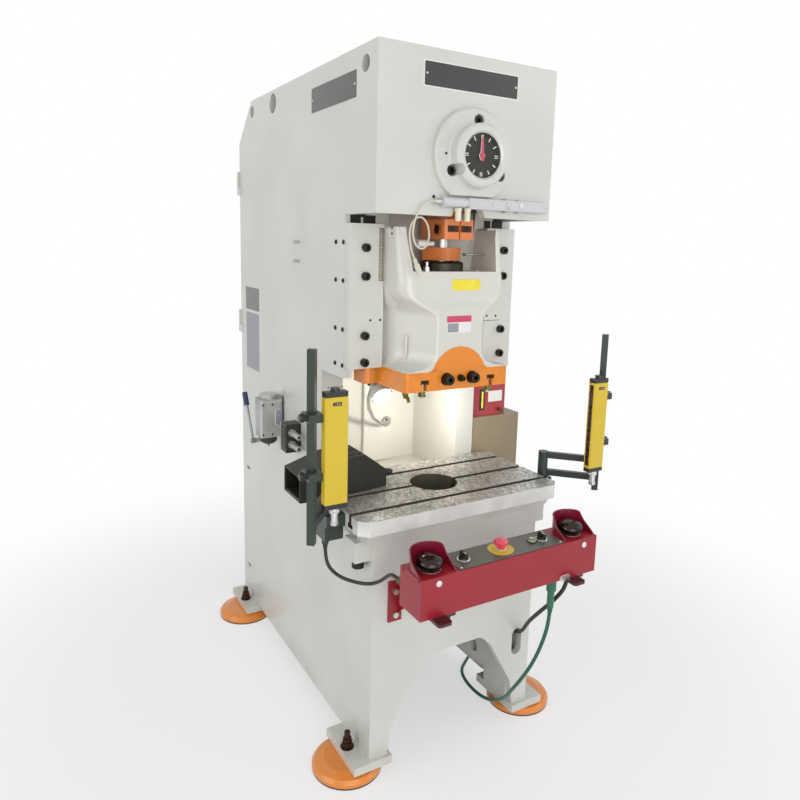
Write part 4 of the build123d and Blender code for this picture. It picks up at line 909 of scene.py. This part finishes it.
clamp_screws = fit("clamp_screws", "slide", "black_oxide",
    *[(socket_head(16, 22, 13, (x, BAND_FRONT, CLAMP_Z), FRONT, 0.3), oxide) for x in (-44.5, 44.5)],
    *[(solid([(18.5, 0), (18.5, 2.2), (17.8, 2.8)], (x, BAND_FRONT + 0.2, CLAMP_Z), FRONT), oxide)
      for x in (-44.5, 44.5)],
    (hex_head(20, 8, (4, BAND_FRONT, CLAMP_Z), FRONT, 0.2), oxide),
    (socket_head(7, 19, 6, (4, BAND_FRONT, CLAMP_Z), FRONT), oxide))
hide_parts("slide_nuts")

# Slide: scale pointer, blank labels, oil pipe on the flank, clamping bolts in the slots
fit("scale_pointer", "slide", "slide_cream",
    (sheet([(0, 25), (-8, 0), (8, 0)], 2.6, (-180.4, 122, 1575.5), LEFT), mark_white),
    *[(pan_head(3.4, 2.0, (-SLIDE_HALF, 110, z), LEFT), oxide) for z in (1568, 1584)])
fit("yellow_label", "slide", "slide_cream",
    (plate(98, 31, 0.9, 1, (33, 43.9, 1427.5), FRONT), label_yellow))
fit("warning_plate", "slide", "slide_cream",
    (plate(84, 49, 0.7, 1, (-6, CASTING_FRONT, 1316.5), FRONT), label_white),
    (plate(84, 18, 1.0, 1, (-6, CASTING_FRONT, 1332), FRONT), label_red),
    (plate(38, 26, 0.9, 0, (-27, CASTING_FRONT, 1307.5), FRONT), label_grey))
fit("slide_oil_pipe", "slide", "slide_cream",
    (bent([(-118, 108, 1283), (-131, 99, 1282), (-136, 95, 1273), (-136, 95, 1246), (-136, 95, 1222), (-137, 97, 1211),
           (-141, 104, 1205), (-143, 116, 1201)], 4.0), slide_enamel))
slot_bolts = []
for x in (-116, 116):
    slot_bolts += [
        (solid([(5.6, 0), (6, 1), (6, 46)], (x, 32, 1106), UP, 24), bright_steel),
        (block(x - 12, x + 12, 20, 44, 1149, 1159, 1.0), oxide),
        (hex_head(19, 11, (x, 32, 1112), UP, 0.3, 2.5), brass)]
fit("slot_bolts", "slide", "black_oxide", *slot_bolts,
    (turned([(0, -22), (6, -21), (7, -14), (9, -12), (9, -6), (7, -4), (7, 0), (0, 0)], (-160, 50, 1128), UP, 24),
     brass),
    (bent([(-160, 50, 1112), (-160, 44, 1112), (-160, 34, 1110), (-162, 28, 1100)], 5.0), brass))

# Rod window: grease cap, dark plates painted as the shade in the rod clamp's slots, and screws on the clamp; bolt,
# screw and pin over the window's floor
fit("rod_grease_cap", "rod", "orange_paint",
    (turned([(0, 0), (8, 0.4), (10, 3), (10.5, 8), (10.5, 30), (9, 34), (6.5, 36), (6.5, 54), (0, 54)],
            (-104, 100, 1543), RIGHT, 28), white_plastic))
fit("clamp_slot_shade", "rod", "orange_paint",
    # Painted shade: dark plates stand for the shaded insides of the clamp's slots
    *[(block(x0, x1, 38.8, 39.6, 1577, 1595, 0.2, 1), brown_oxide) for x0, x1 in ((-42, -8), (8, 40))],
    *[(socket_head(6.5, 2, 6, (x, 39.0, 1586), FRONT), oxide) for x in (-25, 24)],
    (solid([(13, 0), (13, 0.6)], (-50, 84, 1584), LEFT, 32), brown_oxide),
    (socket_head(8, 4, 7, (-50, 84, 1584), LEFT), oxide))
fit("window_bolts", "slide", "slide_cream",
    (hex_head(17, 9, (-72, 96, WINDOW_FLOOR), UP, 0.2, 2.5), bright_steel),
    (solid([(5, 0), (5, 26)], (-72, 96, WINDOW_FLOOR), UP, 20), bright_steel),
    (pan_head(6.5, 4.0, (131, 130, WINDOW_FLOOR), UP), bright_steel),
    (turned([(0, 0), (1.6, 0.6), (3, 4), (3, 80), (0, 80)], (68, 118, 1513), RIGHT, 16), bright_steel),
    (turned([(0, 0), (2.4, 0.6), (3.6, 2), (3.6, 11), (0, 11)], (67, 118, 1513), RIGHT, 16), brass))

# Console: palm guards with rolled rims, domed palm buttons, bezels, screws, bare badge
GUARD_HALF, GUARD_MOUTH, GUARD_BEND = 53.8, -38.5, -4.7
guard_rise = [(GUARD_MOUTH, 0), (-31.5, 6), (-20.5, 13), (-8.5, 20), (3.5, 28), (10.5, 38), (17.5, 50), (60, 50)]


def guard_top(y):
    """The height of a guard's rim, as far back from its middle as y."""
    for (y0, z0), (y1, z1) in zip(guard_rise, guard_rise[1:]):
        if y <= y1:
            return CON_TOP + max(0.4, z0 + (z1 - z0) * max(0.0, y - y0) / (y1 - y0))


hoods = []
for side in (-1, 1):
    path = [(-GUARD_HALF, GUARD_MOUTH + 2.6 * k) for k in range(13)]
    path += [(-GUARD_HALF * cos(pi * k / 24), GUARD_BEND + GUARD_HALF * sin(pi * k / 24))
             for k in range(1, 24)]
    path += [(GUARD_HALF, y) for x, y in reversed(path[:13])]
    wall = bmesh.new()
    foot = [wall.verts.new((side * PALM_X + x, CON_MID + y, CON_TOP - 1)) for x, y in path]
    base = [wall.edges.new(pair) for pair in zip(foot, foot[1:])]
    raised = bmesh.ops.extrude_edge_only(wall, edges=base)["geom"]
    for v in raised:
        if isinstance(v, bmesh.types.BMVert):
            v.co.z = guard_top(v.co.y - CON_MID)
    bmesh.ops.solidify(outward(wall), geom=wall.faces[:], thickness=2.2)
    rim = [(side * PALM_X + x, CON_MID + y, guard_top(y)) for x, y in path]
    hoods += [(wall, hood_enamel), (bent(rim, 1.9, 2), hood_enamel)]
guards = fit("palm_guards", "frame", "hood_maroon", *hoods)
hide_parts("palm_hoods")
for name, side in (("left", -1), ("right", 1)):
    fit("palm_bezel_" + name, "frame", "hood_maroon",
        (turned([(18, 0), (30, 0), (30, 0.8), (29, 1.3), (19, 1.3), (18, 0.8), (18, 0)],
                (side * PALM_X, CON_MID, CON_TOP), UP, 48), satin_alloy))
    dome = fit("palm_dome_" + name, "palm_" + name, "palm_dark",
               (turned([(0, -20), (9, -20), (9, 6.6), (14, 7.6), (26, 8.0), (31.6, 9.4), (34.5, 12.4), (35.5, 16.6),
                        (34.8, 21.2), (32.2, 26.0), (28.0, 30.0), (21.4, 33.4), (13.6, 35.6), (6.0, 36.4), (0, 36.6)],
                       (side * PALM_X, CON_MID, CON_TOP), UP, 64), dark_chrome), smooth=50)
    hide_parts("palm_button_" + name)

bezel = [(0.0, 0), (3.6, 0), (3.6, 1.4), (2.6, 2.4), (0.0, 2.4)]
for name, x, low_z, inner, finish in (
        ("stop_bezel", STOP_X, PANEL_TOP + 2, 11.4, satin_alloy),
        ("start_bezel", START_X, PANEL_TOP, 11.4, black_plastic),
        *[("selector_bezel_" + side, x, PANEL_TOP, 14.4, chrome) for side, x in SELECTORS]):
    fit(name, "frame", "black_plastic",
        (turned([(inner + r, z) for r, z in bezel], (x, CON_MID, low_z), UP, 48), finish))
for name, x in SELECTORS:
    fit("selector_mark_" + name, "select_" + name, "black_plastic",
        (block(x - 1.2, x + 1.2, CON_MID - 12.4, CON_MID - 1, 751.6, 752.4, 0.2, 1), mark_white),
        (block(x - 3.6, x + 3.6, CON_MID - 13.2, CON_MID + 13.2, 745, 752, 1.4), black_plastic))
fit("stop_arrow_ring", "stop", "red_plastic",
    (turned([(19.4, 0), (20.6, 0.6), (20.9, 2.2), (20.6, 3.8), (19.4, 4.4)], (STOP_X, CON_MID, 752.6), UP, 48),
     red_plastic))
fit("start_ring", "start", "green_plastic",
    (turned([(8.6, 0), (10.8, 0), (10.8, 1.0), (9.6, 1.7), (8.6, 1.2)], (START_X, CON_MID, 741.8), UP, 40),
     black_plastic))
fit("console_fixings", "frame", "console_red",
    *[(pan_head(8.2, 3.6, (x, CON_FRONT, z), FRONT), mark_white) for x, z in ((-243, 713), (248, 712))],
    *[(pan_head(3.4, 1.8, (x, CON_MID + y, PANEL_TOP), UP), satin_alloy) for x in (-168, 168) for y in (-38, 38)],
    (plate(38, 18, 1.2, 8, (182, CON_FRONT, 627.5), FRONT), satin_alloy),
    (hex_head(32, 9, (182, -226, 606), UP, 0.2), cable_green),
    *[(solid([(4.5, 0), (4.5, 1.6)], (side * 296, CON_MID + y, 724), axis, 20), red_enamel)
      for side, axis in SIDES for y in (-38, 38)])

# Light curtains: lens strips, front covers, knurled connector rings, clamp knobs
for name, x0, x1, lens_side, clamps, knob_x, axis in (
        ("left", -475, -413, (-415.4, -413.6), (967, 1116), -511.5, LEFT),
        ("right", 427, 486, (427.6, 429.4), (930, 1080), 518.5, RIGHT)):
    z0, z1 = CURTAINS[name]
    body = "curtain_" + name + "_body"
    middle = (x0 + x1) / 2
    fit("curtain_lens_" + name, body, "curtain_yellow",
        (block(*lens_side, -99.8, -84.2, z0 + 20.5, z1 - 20.5, 0.4, 1), lens_dark))
    fit("curtain_trim_" + name, body, "curtain_yellow",
        (plate(x1 - x0 - 9, z1 - z0 - 30, 0.9, 2, (middle, -105, (z0 + z1) / 2), FRONT), cover_enamel),
        (plate(24, 9, 0.7, 1, (middle, -105.9, z1 - 30), FRONT), plate_black),
        *[(turned([(0, 0), (1.6, 0), (1.6, 0.6), (0, 0.9)], (middle + dx, -106.5, z1 - 30), FRONT, 16), glass)
          for dx, glass in ((-6, label_red), (0, label_yellow), (6, green_plastic))],
        *[(solid([(2.6, -0.6), (2.6, 0.9), (1.8, 1.4)], (middle + dx, -92, z1 + 9), UP, 20), oxide)
          for dx in (-18, 18)],
        (knob(13.5, 8, 18, (middle, -92, z0 - 14), UP), chrome),
        (ring(9.2, 10.6, 8, (middle, -92, z0 - 44), UP, 32), chrome))
    fit("curtain_knobs_" + name, body, "black_metal",
        *[(knob(12, 15, 5, (knob_x, -66, z), axis), black_plastic) for z in clamps])

# Bolster: rims of the holes in its ends
fit("bed_fixings", "frame", "black_oxide",
    *[(turned([(0, 0.4), (8, 0.5), (9, 1.4), (11, 1.4), (11.6, 0)], (side * 350, y, 785), axis, 28), oxide)
      for side, axis in SIDES for y in (69, 191)])

# Foot switch: rolled mouth, top ridges, cover screws, cable gland; ribbed pedal
switch_mouth = [(-440, 146.5, 809), (-440, 145.5, 850), (-440, 147, 884), (-440, 205, 885.5), (-440, 263, 884),
                (-440, 264.5, 850), (-440, 263.5, 809)]
fit("foot_switch_trim", "frame", "black_metal",
    (bent(switch_mouth, 2.6, 2), black_cast),
    *[(bent([(-330, y, 915.3), (-235, y, 922.2)], 1.8, 2), black_cast) for y in (170, 212, 254)],
    *[(bent([(-235, y, 921.8), (-152, y + (212 - y) * 0.25, 859.5)], 1.8, 2), black_cast) for y in (170, 212, 254)],
    *[(pan_head(4.2, 2.4, (x, y, z), UP), oxide) for x, z in ((-318, 915.8), (-247, 921)) for y in (160, 264)],
    (hex_head(30, 9, (-150, 212, 833), RIGHT, 0.2), black_plastic),
    (turned([(9, 0), (10.8, 0), (10.8, 4), (8, 14), (6.4, 16), (0, 16)], (-122, 212, 833), RIGHT, 28), black_plastic))
fit("pedal_ribs", "pedal", "black_metal",
    *[(block(x, x + 3.2, 176, 250, 848.6, 851, 0.8, 1), belt_rubber) for x in range(-376, -300, 9)])

# Work lamp: cooling ribs, pivot nuts, bright lens, wall nut
LAMP_TILT = radians(122)
lamp_aim = Vector((0, -sin(LAMP_TILT), cos(LAMP_TILT)))
lamp_pivot = Vector((-106, 338, 1092))


def on_lamp(reach):
    return lamp_pivot + reach * lamp_aim


fit("lamp_trim", "lamp", "lamp_white",
    (turned([(31.6, 0), (34.6, 0.2), (35, 1.2), (35, 5.4), (34.2, 6.2), (31.6, 6.2)], on_lamp(58), lamp_aim, 56),
     lamp_enamel),
    *[(ring(22.5 + k, 25.6 + 1.6 * k, 2, on_lamp(30 + 4 * k), lamp_aim, 48), lamp_enamel) for k in range(3)],
    *[(solid([(7, 0), (7, 5), (5.6, 6.4)], lamp_pivot + Vector((side * 18.2, 0, 0)), axis, 24), oxide)
      for side, axis in SIDES])
fit("lamp_lens", "lamp", "lamp_white",
    (turned([(0, 3.4), (10, 3.1), (20, 2.2), (27, 0.9), (29.6, 0)], on_lamp(52.4), lamp_aim, 48), glow))
fit("lamp_foot_trim", "frame", "chrome",
    (solid([(11, 0), (11, 5), (8.6, 8), (6.8, 10), (6.8, 12)], (86, 596, 880), FRONT, 32), chrome),
    *[(pan_head(3, 2, (86 + dx, 596, 880 + dz), FRONT), bright_steel)
      for dx, dz in ((-14.5, 0), (14.5, 0), (0, 14.5), (0, -14.5))])

# Air unit: bracket, bare plate, air tube, cap, drain; valve block with silencers and fittings; lever boss
fit("air_unit_trim", "frame", "aluminium",
    (plate(108, 23, 1.2, 1, (-SIDE_FACE, 700, 1018), LEFT, QUARTER), satin_alloy),
    (plate(28, 60, 1.2, 11, (-311, 669, 922), FRONT), white_plastic),
    (plate(24, 56, 1.6, 9, (-311, 669, 922), FRONT), label_grey),
    (block(-374, -295, 667.6, 669.2, 976, 984, 0.5), satin_alloy),
    (bent([(-297, 667, 1000), (-297, 664, 985), (-297, 664.5, 940), (-297, 664.5, 880), (-299, 662, 864),
           (-303, 650, 862)], 2.2), cable_black),
    (turned([(0, 3), (24, 3), (29, 2), (31, 0), (31.6, -14)], (-337, 702, 1001), UP, 40), satin_alloy),
    *[(pan_head(3.6, 2.2, (x, 669, z), FRONT), oxide) for x in (-368, -334) for z in (862, 970)],
    (solid([(3, -7), (3.4, 0), (6, 1), (6, 6)], (-337, 702, 818), UP, 20), brass))
fit("valve_trim", "frame", "aluminium",
    *[(turned([(4.2, 0), (9.9, 0), (9.9, -3), (9.2, -3.6), (4.2, -3.6)], (-326, 441, z), REAR, 28), satin_alloy)
      for z in (869, 909)],
    *[(hex_head(24, 5, (-326, 505, z), FRONT, 0.26), satin_alloy) for z in (869, 909)],
    *[(pan_head(3.2, 2, (x, 505, z), FRONT), oxide) for x in (-340, -299) for z in (846, 931)],
    (block(-346.4, -345, 512, 553, 852, 926, 0.5), black_cast),
    (solid([(6, 0), (6, 8), (4, 9)], (-306, 580, 898), UP, 20), chrome),
    (ring(8.2, 12, 10, (-303, 642, 888), REAR, 28), chrome),
    (ring(8.2, 11, 12, (-303, 572, 888), REAR, 28), chrome))
fit("lever_boss", "lever", "black_metal",
    (hex_head(15, 4, (-401, 702, 838), LEFT, 0.2), bright_steel))

# Cabinet: slots, bottom glands, raised door panel with its lock; lubricator cap, sight tube, outlet, label
fit("cabinet_trim", "frame", "cabinet_paint",
    *[(block(300 + 18 * k, 312 + 18 * k, 338.6, 340, 660, 700, 0.5, 1), black_plastic) for k in range(8)],
    (hex_head(26, 7, (350, 385, 633), UP, 0.2), satin_alloy),
    *[(solid([(10, 0), (10, -8), (8, -10)], (x, 385, 640), UP, 28), black_plastic) for x in (390, 425, 460)])
fit("cabinet_door_trim", "cabinet_leaf", "cabinet_paint",
    (plate(216, 262, 1.6, 4, (505.3, 466, 785), RIGHT, QUARTER, 0.8), cabinet_enamel),
    (turned([(9.2, 0), (15, 0), (15, 3), (13.6, 4), (9.2, 4)], (506.6, 362, 770), RIGHT, 32), satin_alloy),
    (block(513, 516, 360.6, 363.4, 762, 778, 0.6), oxide))
fit("lubricator_trim", "frame", "red_tank",
    (solid([(19, 12), (21.6, 10.6), (22.4, 8), (22.4, 1.6), (21.4, 0)], (406, 430, 1055), UP, 40), black_plastic),
    (block(330, 352, 347.6, 350.2, 952, 1030, 0.8), black_plastic),
    (solid([(3.4, 0), (3.4, 62)], (341, 347.4, 960), UP, 20), label_yellow),
    (solid([(7, 0), (7, 12), (4.6, 14), (4.6, 24)], (420, 350, 948), FRONT, 24), brass),
    (plate(62, 40, 0.9, 2, (400, 350, 1000), FRONT), label_white))

# Drive motor: fan cowl slots, bare plate, box screws
fit("motor_trim", "frame", "motor_grey",
    *[(ring(14 + 16 * k, 20 + 16 * k, 2, (0, 1096, 1235), REAR, 48), black_plastic) for k in range(5)],
    (plate(60, 40, 1.0, 2, (-119.6, 985, 1250), LEFT, QUARTER), satin_alloy),
    *[(socket_head(5, 5, 5, (140, 990 + dy, 1240 + dz), RIGHT), oxide) for dy in (-33, 33) for dz in (-28, 28)],
    (solid([(12, 0), (12, -12), (9, -15), (6.5, -24)], (119, 990, 1206), UP, 28), black_plastic))

# Rear door: louvre hoods, knob and screws
louvres = []
for k in range(7):
    for base_z in (1180, 1640):
        z = base_z + 26 * k
        hood = solid([(4, 0), (6.5, 3.2), (6.5, 176), (4, 179.2)], steps=20)
        bmesh.ops.bisect_plane(hood, geom=hood.verts[:] + hood.edges[:] + hood.faces[:], plane_co=(0, 0, 0),
                               plane_no=FRONT, clear_outer=True)
        louvres.append((stand(hood, (-89.6, 1150.3, z + 11), RIGHT), frame_enamel))
fit("rear_door_trim", "rear_leaf", "frame_cream", *louvres,
    (knob(14, 12, 8, (262, 1150.2, 1500), REAR), black_plastic),
    *[(solid([(3.6, 0), (3.6, 1.4), (2.4, 2.2)], (x, 1150.3, z), REAR, 20), bright_steel)
      for x in (-262, 262) for z in (1130, 1874)])

# Weld beads where the legs stand on the foot plates
WELD_X, WELD_Z = SIDE_FACE + 0.5, 57.5
beads = [(weld((side * WELD_X, y0, WELD_Z), (side * WELD_X, y1, WELD_Z), 3.6), frame_enamel)
         for side in (-1, 1) for y0, y1 in ((8, 156), (952, 1144))]
beads += [(weld((x0, -21.4, WELD_Z), (x1, -21.4, WELD_Z), 3.4), frame_enamel) for x0, x1 in ((-290, -236), (236, 290))]
fit("foot_welds", "frame", "frame_cream", *beads)

# Tapered reliefs where the cables leave their glands
relief = [(0, 0), (8.0, 0), (7.6, 4), (6.4, 12), (5.6, 18), (0, 18)]
for name, place, axis, share, finish in (
        ("curtain_relief", (-386, 92, 700.5), DOWN, 1.0, black_plastic),
        ("curtain_end_relief", (-288, -160.5, 680), REAR, 0.9, black_plastic),
        ("console_relief", (228, -240, 609.5), DOWN, 1.05, black_plastic),
        ("console_end_relief", (252.5, 186.5, 270), FRONT, 1.1, black_plastic),
        ("supply_relief", (182, -226, 515.5), DOWN, 1.1, cable_green),
        ("supply_end_relief", (350, 385, 622.5), DOWN, 1.05, black_plastic),
        ("sensor_relief", (-121.5, -15, 1655), LEFT, 0.5, plug_beige)):
    fit(name, "frame", "black_plastic", (turned([(r * share, z * share) for r, z in relief], place, axis, 28), finish))
